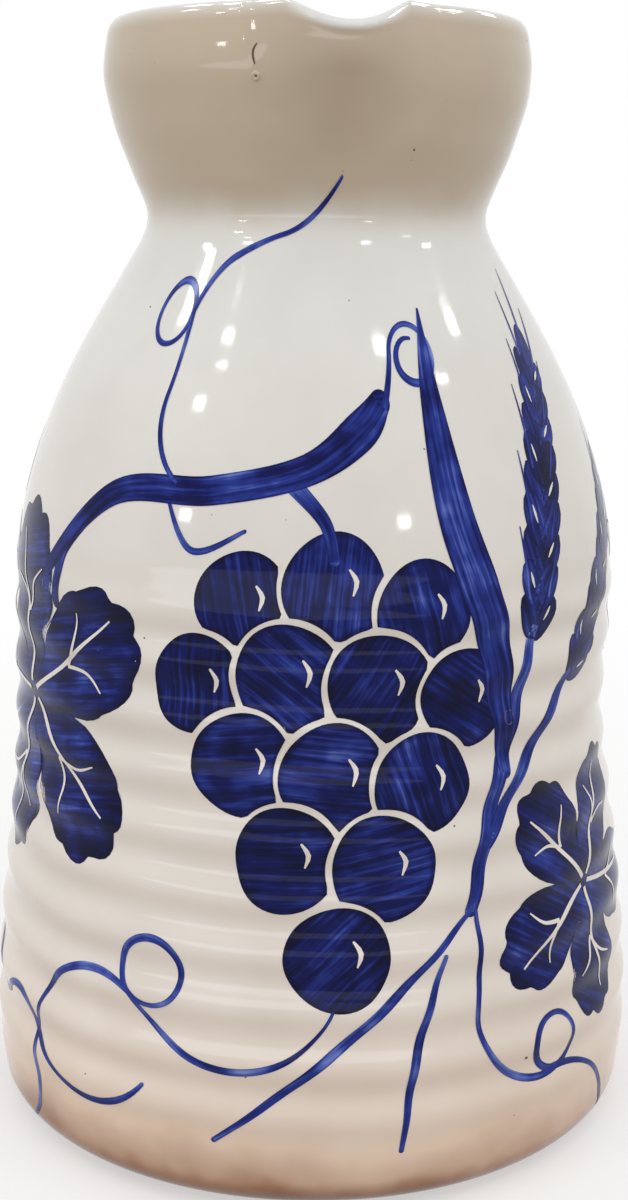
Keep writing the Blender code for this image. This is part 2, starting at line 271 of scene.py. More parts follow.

# %% [markdown]
# ## The pouring spout
# The spout is a piece of clay set in a notch of the collar and pulled forwards by a finger.
# Its beak, its dipped lip and the ridge along its seam all follow simple falls of distance,
# so the grid's points are moved by formula. A boolean of two solids would leave thin
# triangles along the seam, which show in a glossy glaze. The mark of the outer wall, which
# carries the collar's painted shade, is wiped off the lip's bead, so the bead shows white
# there: a painted highlight where it turns up to the light.

# %% Measure the spout
SEAM_GAP = 0.3 * MM
LIP_MIDDLE = 0.5 * MM
slip_low, slip_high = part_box("spout_slip")
spout_half = slip_high.x + SEAM_GAP
spout_depth = rim_z - slip_low.z + SEAM_GAP
spout_reach = -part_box("spout")[0].y - rim_out
spout_corners = [v.co for v in frame["nodes"]["spout"].data.vertices]
lip_dip = rim_z - max(co.z for co in spout_corners if abs(co.x) < LIP_MIDDLE)
print("spout in mm: half width", round(spout_half / MM, 1), "depth", round(spout_depth / MM, 1),
      "reach", round(spout_reach / MM, 1), "dip", round(lip_dip / MM, 1))

# %% Wipe the outer mark, and its painted shade, off the lip
LIP_HALF_WIDTH = 11.8 * MM
LIP_HIGHLIGHT_GAIN = 4.0
LIP_HIGHLIGHT_DEPTH = 3.4 * MM


def lip_painted_highlight(co):
    """How much of the collar's painted shade is lifted off a point of the lip's bead, as a painted
    highlight, from 0 to 1.
    """
    lip = max(0.0, 1 - (co.x / LIP_HALF_WIDTH) ** 2)
    return min(1.0, LIP_HIGHLIGHT_GAIN * lip * max(0.0, 1 - (rim_z - co.z) / LIP_HIGHLIGHT_DEPTH))


# Painted highlight: the collar's painted shade is lifted off the lip's bead.
front_points = [vertex for vertex in glazed_collar.data.vertices if vertex.co.y < 0]
outer_marks = glazed_collar.data.attributes["outer"].data
for vertex in front_points:
    outer_marks[vertex.index].value *= 1 - lip_painted_highlight(vertex.co)
print("points on the front of the collar:", len(front_points))

# %% Pull the spout
LIP_FULLNESS = 1.3
LIP_DEPTH = 14 * MM
BEAD_HEIGHT = 0.7 * MM
BEAD_MIDDLE = 1.9 * MM
BEAD_WIDTH = 1.1 * MM
SEAM_HEIGHT = 0.8 * MM
SEAM_WIDTH = 0.5 * MM
SEAM_STEEPNESS = 4
SEAM_LENGTH = 10 * MM


def pull_spout(co):
    """Where a point of the turned collar ends up once the spout is pulled."""
    across = co.x / spout_half
    down = (rim_z - co.z) / spout_depth
    edge = math.sqrt(across * across + down * down)
    inside = max(0.0, 1 - edge * edge)
    lip = max(0.0, 1 - (co.x / LIP_HALF_WIDTH) ** 2) ** LIP_FULLNESS
    near_rim = max(0.0, 1 - (rim_z - co.z) / LIP_DEPTH)
    step = 1 / (1 + math.exp((edge - 1) * spout_half / SEAM_WIDTH * SEAM_STEEPNESS))
    fall = math.exp(-((rim_z - co.z) / SEAM_LENGTH) ** 2) * max(0.0, min(1.0, -across))
    bead = BEAD_HEIGHT * lip * math.exp(-((rim_z - co.z - BEAD_MIDDLE) / BEAD_WIDTH) ** 2)
    forward = spout_reach * inside * inside + SEAM_HEIGHT * step * fall + bead
    return Vector((co.x, co.y - forward, co.z - lip_dip * lip * near_rim))


for vertex in front_points:
    vertex.co = pull_spout(vertex.co)
print("lip pulled, mm wide:", round(2 * LIP_HALF_WIDTH / MM, 1))

# %% [markdown]
# ## The white tin glaze
# The clay was dipped in a glaze made white and opaque with tin oxide, and fired until it
# flowed. It gives the eye a deep gloss, a faint orange peel and soft clouds of tone. Towards
# the heel it turns warm and dark: partly thin glaze over the clay, partly painted shade where
# the belly meets the floor. The outside of the collar is tinted darker and warmer: that is
# painted shade, for the dim warm light the collar catches as it leans over. A flat white with
# gloss would look like plastic, so the tint follows the height of each point, and the mark of
# the outer wall.

# %% Helpers for materials
WHITE = "#FFFFFF"


def to_linear(colour):
    """Linear red, green, blue and alpha from an sRGB hex value."""
    parts = [int(colour[i:i + 2], 16) / 255 for i in (1, 3, 5)]
    return [p / 12.92 if p <= 0.04045 else ((p + 0.055) / 1.055) ** 2.4 for p in parts] + [1.0]


def fill_inputs(tree, node, inputs):
    """Link sockets to a node's inputs or set values on them, by name or in their order."""
    for key, value in inputs.items() if isinstance(inputs, dict) else enumerate(inputs):
        sources = value if isinstance(value, list) else [value]
        if isinstance(sources[0], bpy.types.NodeSocket):
            for source in sources:
                tree.links.new(source, node.inputs[key])
        else:
            node.inputs[key].default_value = value


def add_node(tree, kind, inputs=(), out=0, stops=(), **settings):
    """Add one node with its settings, colour stops and inputs. Returns one output, or all."""
    node = tree.nodes.new(kind)
    for name, value in settings.items():
        setattr(node, name, value)
    while stops and len(node.color_ramp.elements) < len(stops):
        node.color_ramp.elements.new(1.0)
    for index, (place, colour) in enumerate(stops):
        node.color_ramp.elements[index].position = place
        node.color_ramp.elements[index].color = to_linear(colour)
    fill_inputs(tree, node, inputs)
    return node.outputs if out is None else node.outputs[out]


def new_material(name):
    """An empty node material, its tree and its shader."""
    material = bpy.data.materials.new(name)
    material.use_nodes = True
    return material, material.node_tree, material.node_tree.nodes["Principled BSDF"]


print("white in linear light:", to_linear(WHITE))

# %% Orange peel
PEEL = 2.6 * MM
PEEL_DEPTH = 0.2 * MM
PEEL_STRENGTH = 0.05


def orange_peel(tree, place):
    """The slight unevenness of a fired glaze, as a normal for its shader."""
    peel = add_node(tree, "ShaderNodeTexNoise", {"Vector": place, "Scale": 1 / PEEL, "Detail": 1.0}, "Fac")
    return add_node(tree, "ShaderNodeBump", {
        "Height": peel, "Strength": PEEL_STRENGTH, "Distance": PEEL_DEPTH})


print("orange peel in mm:", round(PEEL / MM, 1))

# %% White tin glaze
# Opaque glossy glass over clay: IOR near 1.5, roughness low, slow clouds of tone.
GLAZE_IOR = 1.52
GLAZE_ROUGHNESS = 0.06
SMOOTHER = -0.02
ROUGHER = 0.04
CLOUD = 22 * MM
CLOUD_DRIFT = 16 * MM
# Painted shade: between these two heights the outside of the collar is tinted darker and warmer, for the dim
# warm light it catches as it leans over.
COLLAR_SHADE_FROM = crease_z + 4 * MM
COLLAR_SHADE_TO = crease_z + 16 * MM
# The lowest stops darken and warm the heel: partly thin glaze over the clay, partly painted shade where the
# belly meets the floor.
GLAZE_STOPS = [(0.0, "#7A4826"), (0.021, "#AA7850"), (0.042, "#DCC0A8"), (0.065, "#F0DCC8"),
               (0.1, "#F0E4D8"), (0.2, "#EEE9E2"), (0.45, "#ECEAE5"), (0.80, "#E6E7E4")]
# The colour of the collar's painted shade.
COLLAR_PAINTED_SHADE = "#CABDA8"
white_glaze, tree, shader = new_material("white_tin_glaze")
place = add_node(tree, "ShaderNodeTexCoord", out="Object")
height = add_node(tree, "ShaderNodeSeparateXYZ", [place], "Z")
cloud = add_node(tree, "ShaderNodeTexNoise", {"Vector": place, "Scale": 1 / CLOUD, "Detail": 3.0}, "Fac")
drift = add_node(tree, "ShaderNodeMath", [cloud, CLOUD_DRIFT, height], operation="MULTIPLY_ADD")
share = add_node(tree, "ShaderNodeMapRange", {
    "Value": drift, "From Min": CLOUD_DRIFT / 2, "From Max": rim_z + CLOUD_DRIFT / 2})
tint = add_node(tree, "ShaderNodeValToRGB", [share], stops=GLAZE_STOPS)
outer = add_node(tree, "ShaderNodeAttribute", out="Fac", attribute_name="outer")
# The mask of the collar's painted shade: above the crease, on the outer wall only.
collar_shade = add_node(tree, "ShaderNodeMapRange", {"Value": drift, "From Min": COLLAR_SHADE_FROM, "From Max": COLLAR_SHADE_TO},
                interpolation_type="SMOOTHSTEP")
collar_shade = add_node(tree, "ShaderNodeMath", [outer, collar_shade], operation="MULTIPLY")
tint = add_node(tree, "ShaderNodeMix", {0: collar_shade, 6: tint, 7: to_linear(COLLAR_PAINTED_SHADE)}, 2, data_type="RGBA")
clouded = add_node(tree, "ShaderNodeMapRange", {
    "Value": cloud, "From Min": 0.3, "From Max": 0.7, "To Min": 0.94, "To Max": 1.02})
colour = add_node(tree, "ShaderNodeMix", {0: 1.0, 6: tint, 7: clouded}, 2,
                  data_type="RGBA", blend_type="MULTIPLY")
rough = add_node(tree, "ShaderNodeMapRange", {
    "Value": cloud, "To Min": GLAZE_ROUGHNESS + SMOOTHER, "To Max": GLAZE_ROUGHNESS + ROUGHER})
fill_inputs(tree, shader, {"IOR": GLAZE_IOR, "Base Color": colour, "Roughness": rough,
                           "Normal": orange_peel(tree, place)})
print("made", white_glaze.name)

# %% Bare fired clay
# Buff earthenware that was wiped clean of glaze: matt, grainy, with grit of about 1.5 mm.
GRIT = 1.5 * MM
GRIT_DEPTH = 0.3 * MM
GRIT_STRENGTH = 0.3
CLAY_ROUGHNESS = 0.8
CLAY_STOPS = [(0.3, "#A9785A"), (0.5, "#C0906F"), (0.7, "#CFA685")]
bare_clay, tree, shader = new_material("bare_fired_clay")
place = add_node(tree, "ShaderNodeTexCoord", out="Object")
grit = add_node(tree, "ShaderNodeTexNoise", {"Vector": place, "Scale": 1 / GRIT, "Detail": 4.0}, "Fac")
tint = add_node(tree, "ShaderNodeValToRGB", [grit], stops=CLAY_STOPS)
bump = add_node(tree, "ShaderNodeBump", {"Height": grit, "Strength": GRIT_STRENGTH, "Distance": GRIT_DEPTH})
fill_inputs(tree, shader, {"Base Color": tint, "Normal": bump, "Roughness": CLAY_ROUGHNESS})
print("made", bare_clay.name)

# %% [markdown]
# ## The potter's marks
# As the wheel turned, the potter's finger left one spiral groove up the belly, and a thumb
# later dented its side. The groove could be a bump in the material, but its bands bend the
# reflections and the painted lines, so it is real geometry. A Geometry Nodes tree moves the
# points of the outer wall by that rule, and its inputs are the sizes a potter would know.

# %% Helpers for geometry trees
def new_tree(name, sockets):
    """A geometry tree with named inputs. Returns it with its input and output sockets."""
    tree = bpy.data.node_groups.new(name, "GeometryNodeTree")
    tree.interface.new_socket("Geometry", in_out="INPUT", socket_type="NodeSocketGeometry")
    for label, kind in sockets.items():
        tree.interface.new_socket(label, in_out="INPUT", socket_type="NodeSocket" + kind)
    tree.interface.new_socket("Geometry", in_out="OUTPUT", socket_type="NodeSocketGeometry")
    return tree, tree.nodes.new("NodeGroupInput").outputs, tree.nodes.new("NodeGroupOutput").inputs


def apply_tree(piece, tree, values):
    """Set a tree's inputs by identifier, and keep its result as the piece's plain mesh."""
    modifier = piece.modifiers.new(tree.name, "NODES")
    modifier.node_group = tree
    for item in tree.interface.items_tree:
        if item.name in values:
            modifier[item.identifier] = values[item.name]
    piece.update_tag()
    graph = bpy.context.evaluated_depsgraph_get()
    mesh = bpy.data.meshes.new_from_object(piece.evaluated_get(graph))
    piece.modifiers.remove(modifier)
    mesh.name = piece.name
    piece.data = mesh


print("geometry helpers ready")

# %% Wire the spiral groove
# Each sum has a name, an operation and its parts: names of earlier values, inputs, or numbers.
NOISE_SCALE = 18.0
marks, given, result = new_tree("potters_marks", {
    "Pitch": "Float", "Depth": "Float", "Low": "Float", "High": "Float", "Fade": "Float",
    "Start": "Float", "Waver": "Float", "Dent Depth": "Float", "Dent Turn": "Float",
    "Dent Height": "Float", "Dent Half Width": "Float", "Dent Half Height": "Float",
    "Seed": "Float", "Glaze": "Material", "Clay": "Material", "Bare Below": "Float"})
place = add_node(marks, "GeometryNodeInputPosition")
split = add_node(marks, "ShaderNodeSeparateXYZ", [place], None)
lift = add_node(marks, "ShaderNodeCombineXYZ", {"X": given["Seed"], "Z": given["Seed"]})
moved = add_node(marks, "ShaderNodeVectorMath", [place, lift], operation="ADD")
known = {socket.name: socket for socket in [*given, *split]}
known["noise"] = add_node(marks, "ShaderNodeTexNoise", {
    "Vector": moved, "Scale": NOISE_SCALE, "Detail": 1.0}, "Fac")
for name, operation, *parts in (
        ("turn", "ARCTAN2", "Y", "X"),
        ("sway", "SUBTRACT", "noise", 0.5),
        ("waver", "MULTIPLY", "sway", "Waver"),
        ("rise", "DIVIDE", "Z", "Pitch"),
        ("part turn", "DIVIDE", "turn", FULL_TURN),
        ("climb", "ADD", "rise", "part turn"),
        ("begun", "SUBTRACT", "climb", "Start"),
        ("phase", "ADD", "begun", "waver"),
        ("angle", "MULTIPLY", "phase", FULL_TURN),
        ("wave", "COSINE", "angle"),
        ("over low", "SUBTRACT", "Z", "Low"),
        ("from low", "DIVIDE", "over low", "Fade"),
        ("under high", "SUBTRACT", "High", "Z"),
        ("from high", "DIVIDE", "under high", "Fade"),
        ("nearer end", "MINIMUM", "from low", "from high")):
    inputs = [known.get(part, part) for part in parts]
    known[name] = add_node(marks, "ShaderNodeMath", inputs, operation=operation)
known["fade"] = add_node(marks, "ShaderNodeMapRange", {"Value": known["nearer end"]},
                         interpolation_type="SMOOTHSTEP")
print("spiral groove wired,", len(marks.nodes), "nodes")

# %% Add the dent and finish the tree
known["outer"] = add_node(marks, "GeometryNodeInputNamedAttribute", {"Name": "outer"}, data_type="FLOAT")
for name, operation, *parts in (
        ("press", "MULTIPLY_ADD", "noise", 1.2, 0.4),
        ("strength", "MULTIPLY", "fade", "press"),
        ("depth", "MULTIPLY", "strength", "Depth"),
        ("trough", "MULTIPLY_ADD", "wave", -0.5, 0.5),
        ("groove", "MULTIPLY", "trough", "depth"),
        ("y squared", "MULTIPLY", "Y", "Y"),
        ("radius squared", "MULTIPLY_ADD", "X", "X", "y squared"),
        ("radius", "SQRT", "radius squared"),
        ("off turn", "SUBTRACT", "turn", "Dent Turn"),
        ("off side", "MULTIPLY", "off turn", "radius"),
        ("along", "DIVIDE", "off side", "Dent Half Width"),
        ("off height", "SUBTRACT", "Z", "Dent Height"),
        ("up", "DIVIDE", "off height", "Dent Half Height"),
        ("up squared", "MULTIPLY", "up", "up"),
        ("apart", "MULTIPLY_ADD", "along", "along", "up squared"),
        ("fall", "MULTIPLY", "apart", -1.0),
        ("bell", "EXPONENT", "fall"),
        ("dent", "MULTIPLY", "bell", "Dent Depth"),
        ("push", "MULTIPLY_ADD", "groove", "outer", "dent"),
        ("inwards", "MULTIPLY", "push", -1.0),
        ("at foot", "LESS_THAN", "Z", "Bare Below")):
    inputs = [known.get(part, part) for part in parts]
    known[name] = add_node(marks, "ShaderNodeMath", inputs, operation=operation)
away = add_node(marks, "ShaderNodeCombineXYZ", {"X": split["X"], "Y": split["Y"]})
way = add_node(marks, "ShaderNodeVectorMath", [away], operation="NORMALIZE")
offset = add_node(marks, "ShaderNodeVectorMath", {0: way, "Scale": known["inwards"]}, operation="SCALE")
wall = add_node(marks, "GeometryNodeSetPosition", {"Geometry": given["Geometry"], "Offset": offset})
plain = add_node(marks, "GeometryNodeRealizeInstances", [wall])
coated = add_node(marks, "GeometryNodeSetMaterial", {"Geometry": plain, "Material": given["Glaze"]})
footed = add_node(marks, "GeometryNodeSetMaterial", {
    "Geometry": coated, "Selection": known["at foot"], "Material": given["Clay"]})
marks.links.new(footed, result[0])
print("potter's marks tree:", len(marks.nodes), "nodes")

# %% Mark the belly and the collar
RING_PITCH = 10.9 * MM
RING_DEPTH = 0.9 * MM
COLLAR_RING_DEPTH = 0.14 * MM
RING_START = 0.57
DENT_TURN = math.radians(-20)
potter = {"Pitch": RING_PITCH, "Start": RING_START, "Seed": 3.0, "Glaze": white_glaze, "Clay": bare_clay}


def hand_over(piece, *nodes):
    """Let a finished piece ride on the jug, and hide the CAD nodes it replaces."""
    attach(piece, "root")
    if nodes:
        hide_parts(*nodes)
    print(piece.name, "faces:", len(piece.data.polygons))


apply_tree(glazed_body, marks, {
    **potter, "Depth": RING_DEPTH, "Low": 10 * MM, "High": 128 * MM, "Fade": 18 * MM, "Waver": 0.35,
    "Dent Depth": 1.6 * MM, "Dent Turn": DENT_TURN, "Dent Height": 90 * MM,
    "Dent Half Width": 32 * MM, "Dent Half Height": 17 * MM, "Bare Below": 0.25 * MM})
apply_tree(glazed_collar, marks, {
    **potter, "Depth": COLLAR_RING_DEPTH, "Low": crease_z + 3 * MM, "High": rim_z - 4 * MM,
    "Fade": 8 * MM, "Waver": 0.5, "Dent Depth": 0.0, "Dent Turn": 0.0, "Dent Height": 0.0,
    "Dent Half Width": 1.0, "Dent Half Height": 1.0, "Bare Below": -1.0})
hand_over(glazed_body, "body", "neck_slip")
hand_over(glazed_collar, "collar", "spout", "spout_slip")

# %% [markdown]
# ## The handle
# A handle is pulled from a lump of wet clay into a strap, bent over and luted to the wall,
# where its roots are smeared out. A curve with a bevel would give an even tube; here each
# ring of the strap is placed in code, so that it can taper, carry the shallow groove of the
# pulling thumb and flare into the wall at both ends.

# %% Plan the strap
STRAP_WIDTH = 24 * MM
STRAP_THICKNESS = 10.5 * MM
STRAP_TAPER = 0.22
ROOT_BITE = 3 * MM
HANDLE_RISE = 14 * MM
HANDLE_FALL = 36 * MM
top_low, top_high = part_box("handle_top_slip")
foot_low, foot_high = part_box("handle_foot_slip")
top_z = (top_low.z + top_high.z) / 2
foot_z = (foot_low.z + foot_high.z) / 2
top_y = outer_at(top_z) - ROOT_BITE
foot_y = outer_at(foot_z) - ROOT_BITE
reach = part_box("handle")[1].y - (1 - STRAP_TAPER / 2) * STRAP_THICKNESS / 2
# The middle of a Bezier curve is an eighth of its ends and three eighths of its two guides.
swing = (8 * reach - top_y - foot_y) / 6
guides = [(top_y, top_z), (swing, top_z + HANDLE_RISE), (swing, foot_z + HANDLE_FALL), (foot_y, foot_z)]
print("handle reach in mm:", round(reach / MM, 1))

# %% Shape one ring of the strap
ROOT_FLARE = 0.45
ROOT_LENGTH = 0.07
THUMB_GROOVE = 0.13
THUMB_SPREAD = 0.35
STRAP_SIDES = 40
TANGENT_STEP = 0.01


def handle_point(t):
    """A point of the strap's middle line, in the plane of the jug's spout and handle."""
    weights = ((1 - t) ** 3, 3 * t * (1 - t) ** 2, 3 * t * t * (1 - t), t ** 3)
    y, z = (sum(weight * guide[i] for weight, guide in zip(weights, guides)) for i in (0, 1))
    return Vector((0, y, z))


def strap_ring(t):
    """One ring of points round the strap."""
    before, after = max(0, t - TANGENT_STEP), min(1, t + TANGENT_STEP)
    tangent = (handle_point(after) - handle_point(before)).normalized()
    outwards = Vector((1, 0, 0)).cross(tangent)
    flare = ROOT_FLARE * (math.exp(-t / ROOT_LENGTH) + math.exp(-(1 - t) / ROOT_LENGTH))
    size = 1 - STRAP_TAPER * t + flare
    ring = []
    for side in range(STRAP_SIDES):
        a = FULL_TURN * side / STRAP_SIDES
        hollow = THUMB_GROOVE * math.exp(-(math.cos(a) / THUMB_SPREAD) ** 2) * (1 - flare)
        across = Vector((STRAP_WIDTH / 2 * size * math.cos(a), 0, 0))
        rise = STRAP_THICKNESS / 2 * size * math.sin(a) * (1 - hollow)
        ring.append(handle_point(t) + across + outwards * rise)
    return ring


print("points of a ring:", STRAP_SIDES)

# %% Sweep the strap
STRAP_RINGS = 96
work = bmesh.new()
rings = [[work.verts.new(co) for co in strap_ring(i / STRAP_RINGS)] for i in range(STRAP_RINGS + 1)]
for one, two in zip(rings, rings[1:]):
    for side in range(STRAP_SIDES):
        after = (side + 1) % STRAP_SIDES
        work.faces.new([one[side], one[after], two[after], two[side]])
for end in (rings[0], rings[-1]):
    work.faces.new(end)
bmesh.ops.recalc_face_normals(work, faces=work.faces)
glazed_handle = finish_mesh("glazed_handle", work)
glazed_handle.data.materials.append(white_glaze)
hand_over(glazed_handle, "handle", "handle_top_slip", "handle_foot_slip")

# %% [markdown]
# ## Floor, light and camera
# The jug stands on a plain pale floor in soft studio light. The camera and the gloss see a
# white floor and a white world; only scattered light sees the floor's warm grey, which tints
# the underside of the belly and the collar. The camera stands where a perspective fit of the
# jug's outline put it.

# %% Camera
IMAGE = (628, 1200)
FOCAL_PIXELS = 1793
AZIMUTH = math.radians(7)
PITCH = math.radians(11.68)
ROLL = math.radians(0.4)
CAMERA_DISTANCE = 386.4 * MM
CAMERA_HEIGHT = 188.6 * MM
SENSOR = 36.0
lens = bpy.data.cameras.new("photo_camera")
lens.sensor_fit = "VERTICAL"
lens.sensor_height = SENSOR
lens.lens = SENSOR * FOCAL_PIXELS / IMAGE[1]
lens.clip_start = 10 * MM
camera = put_in_scene("photo_camera", lens)
stand = Vector((-CAMERA_DISTANCE * math.sin(AZIMUTH), -CAMERA_DISTANCE * math.cos(AZIMUTH), CAMERA_HEIGHT))
tilt = Matrix.Rotation(math.pi / 2 - PITCH, 4, "X")
aim = Matrix.Rotation(-AZIMUTH, 4, "Z") @ tilt @ Matrix.Rotation(ROLL, 4, "Z")
camera.matrix_world = Matrix.Translation(stand) @ aim
scene.camera = camera
scene.view_settings.view_transform = "Standard"
print("camera at mm:", [round(value / MM) for value in stand])

# %% Floor
# A matt warm grey in scattered light. The camera and the gloss see it white, with a soft shadow.
FLOOR_SIZE = 6.0
FLOOR_SIDES = 64
FLOOR_DROP = 0.2 * MM
SHADOW_NEAR = 0.08
SHADOW_FAR = 0.5
FLOOR_STOPS = [(0.068, "#8E6A4E"), (0.12, "#B09C8A"), (0.4, "#968472"), (0.9, "#948474")]


def seen_straight(tree):
    """One for rays from the camera, a mirror image or glass, and nought for scattered light."""
    sees = add_node(tree, "ShaderNodeLightPath", out=None)
    seen = add_node(tree, "ShaderNodeMath", [sees["Is Camera Ray"], sees["Is Glossy Ray"]], operation="ADD")
    return add_node(tree, "ShaderNodeMath", [seen, sees["Is Transmission Ray"]],
                    operation="ADD", use_clamp=True)


work = bmesh.new()
bmesh.ops.create_circle(work, cap_ends=True, radius=FLOOR_SIZE, segments=FLOOR_SIDES)
floor = finish_mesh("floor", work)
floor.location.z = -FLOOR_DROP
pale_floor, tree, shader = new_material("pale_floor")
tree.nodes.remove(shader)
place = add_node(tree, "ShaderNodeTexCoord", out="Object")
far = add_node(tree, "ShaderNodeVectorMath", [place], "Value", operation="LENGTH")
warm_grey = add_node(tree, "ShaderNodeValToRGB", [far], stops=FLOOR_STOPS)
warm = add_node(tree, "ShaderNodeBsdfDiffuse", {"Color": warm_grey})
white = add_node(tree, "ShaderNodeEmission", {"Color": to_linear(WHITE), "Strength": 1.0})
lit = add_node(tree, "ShaderNodeBsdfDiffuse", {"Color": to_linear(WHITE)})
fade = add_node(tree, "ShaderNodeMapRange", {
    "Value": far, "From Min": SHADOW_NEAR, "From Max": SHADOW_FAR, "To Min": 0.5, "To Max": 1.0})
ground = add_node(tree, "ShaderNodeMixShader", [fade, lit, white])
seen = add_node(tree, "ShaderNodeMixShader", [seen_straight(tree), warm, ground])
tree.links.new(seen, tree.nodes["Material Output"].inputs["Surface"])
floor.data.materials.append(pale_floor)
print("floor", FLOOR_SIZE, "m from its middle")

# %% World
SKY_STOPS = [(0.0, "#C8BCAE"), (0.35, "#D6D2CC"), (1.0, "#E4E6E8")]
world = bpy.data.worlds.new("studio_light")
scene.world = world
world.use_nodes = True
tree = world.node_tree
way = add_node(tree, "ShaderNodeTexCoord", out="Generated")
up = add_node(tree, "ShaderNodeSeparateXYZ", [way], "Z")
glow = add_node(tree, "ShaderNodeValToRGB", [up], stops=SKY_STOPS)
ground = add_node(tree, "ShaderNodeMix", {0: seen_straight(tree), 6: glow, 7: to_linear(WHITE)}, 2,
                  data_type="RGBA")
fill_inputs(tree, tree.nodes["Background"], {"Color": ground, "Strength": 1.0})
print("world:", world.name)

# %% [markdown]
# ## Lamps
# A large soft lamp above the camera lights the belly and the shoulder, and leaves the collar,
# which leans forwards, in its own shade. Two more stand at the sides. The fourth is a wide
# low oval that the glaze mirrors, so the throwing rings show as bands of light. The sparkle
# comes from small lamps, each placed by the law of the mirror: a ray from the camera meets
# the glaze where the photograph has a glint, and the lamp stands where that ray would bounce
# to. The ones for the rim show in the gloss alone and light nothing else.

# %% Soft lamps
AIM_HEIGHT = 110 * MM
FRONT = -math.pi / 2 - AZIMUTH
COOL_WHITE = "#F6F8FF"


def soft_lamp(name, turn, rise, distance, size, strength, colour):
    """An oval lamp seen from the jug at a turn from the camera and a rise, both in degrees."""
    a = FRONT + math.radians(turn)
    e = math.radians(rise)
    way = Vector((math.cos(a) * math.cos(e), math.sin(a) * math.cos(e), math.sin(e)))
    light = bpy.data.lights.new(name, "AREA")
    light.shape = "ELLIPSE"
    light.size, light.size_y = size
    light.energy = strength * math.pi * distance * distance
    light.color = to_linear(colour)[:3]
    lamp = put_in_scene(name, light)
    lamp.location = Vector((0, 0, AIM_HEIGHT)) + way * distance
    lamp.rotation_euler = (-way).to_track_quat("-Z", "Y").to_euler()
    return lamp


soft_lamps = [soft_lamp("key_lamp", 8, 56, 1.3, (0.8, 0.8), 0.35, "#FAFCFF"),
              soft_lamp("fill_lamp", -10, 2, 1.4, (3.6, 0.26), 0.58, COOL_WHITE),
              soft_lamp("left_lamp", -80, 5, 1.4, (0.5, 1.0), 0.42, COOL_WHITE),
              soft_lamp("right_lamp", 80, 5, 1.4, (0.5, 1.0), 0.42, COOL_WHITE)]
for lamp in soft_lamps:
    lamp.visible_glossy = lamp.name == "fill_lamp"
print("soft lamps:", len(soft_lamps))

# %% Camera rays through the photograph's pixels
skin = search_tree(glazed_body.data)
collar_skin = search_tree(glazed_collar.data)


def look_at(pixel, tree):
    """The way of the camera ray through a pixel, with the place and normal where it meets a mesh."""
    x = (pixel[0] - IMAGE[0] / 2) / FOCAL_PIXELS
    y = (IMAGE[1] / 2 - pixel[1]) / FOCAL_PIXELS
    look = (camera.matrix_world.to_3x3() @ Vector((x, y, -1))).normalized()
    place, normal = tree.ray_cast(camera.matrix_world.translation, look)[:2]
    return look, place, normal


print("faces for rays to meet:", len(glazed_body.data.polygons) + len(glazed_collar.data.polygons))

# %% Small lamps by their mirror images
LAMP_DISTANCE = 1.2
LAMP_GLOW = 16.0


def bounce(pixel, tree):
    """Where a camera ray meets the glaze, and where it has got to one lamp distance later."""
    look, spot, normal = look_at(pixel, tree)
    return spot, spot + look.reflect(normal) * LAMP_DISTANCE


def mirror_lamp(name, tree, box, limit):
    """A small lamp whose image in the glaze fills a box of pixels of the photograph."""
    x0, y0, x1, y1 = box
    x, y = (x0 + x1) / 2, (y0 + y1) / 2
    spot, middle = bounce((x, y), tree)
    across = bounce((x1, y), tree)[1] - bounce((x0, y), tree)[1]
    upwards = bounce((x, y0), tree)[1] - bounce((x, y1), tree)[1]
    light = bpy.data.lights.new(name, "AREA")
    light.shape = "RECTANGLE"
    light.size = min(across.length, limit[0])
    light.size_y = min(upwards.length, limit[1])
    light.energy = LAMP_GLOW * math.pi * light.size * light.size_y
    back = (middle - spot).normalized()
    along = (across - back * across.dot(back)).normalized()
    turn = Matrix((along, back.cross(along), back)).transposed().to_4x4()
    lamp = put_in_scene(name, light)
    lamp.matrix_world = Matrix.Translation(middle) @ turn
    return lamp


print("small lamps stand", LAMP_DISTANCE, "m from the glaze")

# %% Glints on the shoulder and the rim
SHOULDER_GLINTS = [(203, 226, 217, 284), (180, 296, 194, 321), (232, 219, 252, 223), (236, 286, 244, 291),
                   (221, 328, 239, 341), (204, 361, 236, 367), (193, 395, 207, 407), (353, 220, 384, 224),
                   (444, 312, 462, 335), (362, 331, 393, 364), (434, 376, 447, 382)]
SHOULDER_LIMIT = (0.1, 0.05)
RIM_GLINTS = [(184, 212), (220, 248), (258, 282), (412, 424), (436, 472)]
RIM_BAND = (2, 4)
RIM_LIMIT = (0.24, 0.16)
for index, box in enumerate(SHOULDER_GLINTS):
    mirror_lamp(f"ceiling_lamp_{index}", skin, box, SHOULDER_LIMIT)
for index, (x0, x1) in enumerate(RIM_GLINTS):
    edge = next(y for y in range(IMAGE[1]) if look_at(((x0 + x1) / 2, y), collar_skin)[1])
    box = (x0, edge + RIM_BAND[0], x1, edge + RIM_BAND[1])
    lamp = mirror_lamp(f"rim_lamp_{index}", collar_skin, box, RIM_LIMIT)
    lamp.visible_diffuse = False
print("glints:", len(SHOULDER_GLINTS), "on the shoulder,", len(RIM_GLINTS), "on the rim")

# %% [markdown]
# ## Cobalt blue
# The painter works with cobalt oxide in water on the raw white glaze, and the firing melts
# both into one glossy skin. The blue is nearly black where the brush was loaded, lighter
# where it ran dry, streaked along the way the brush went, and darker in a thin line at the
# edge where the colour pooled. Each mark therefore carries how far along and across the
# brush a point lies, and the material draws the streaks from that.

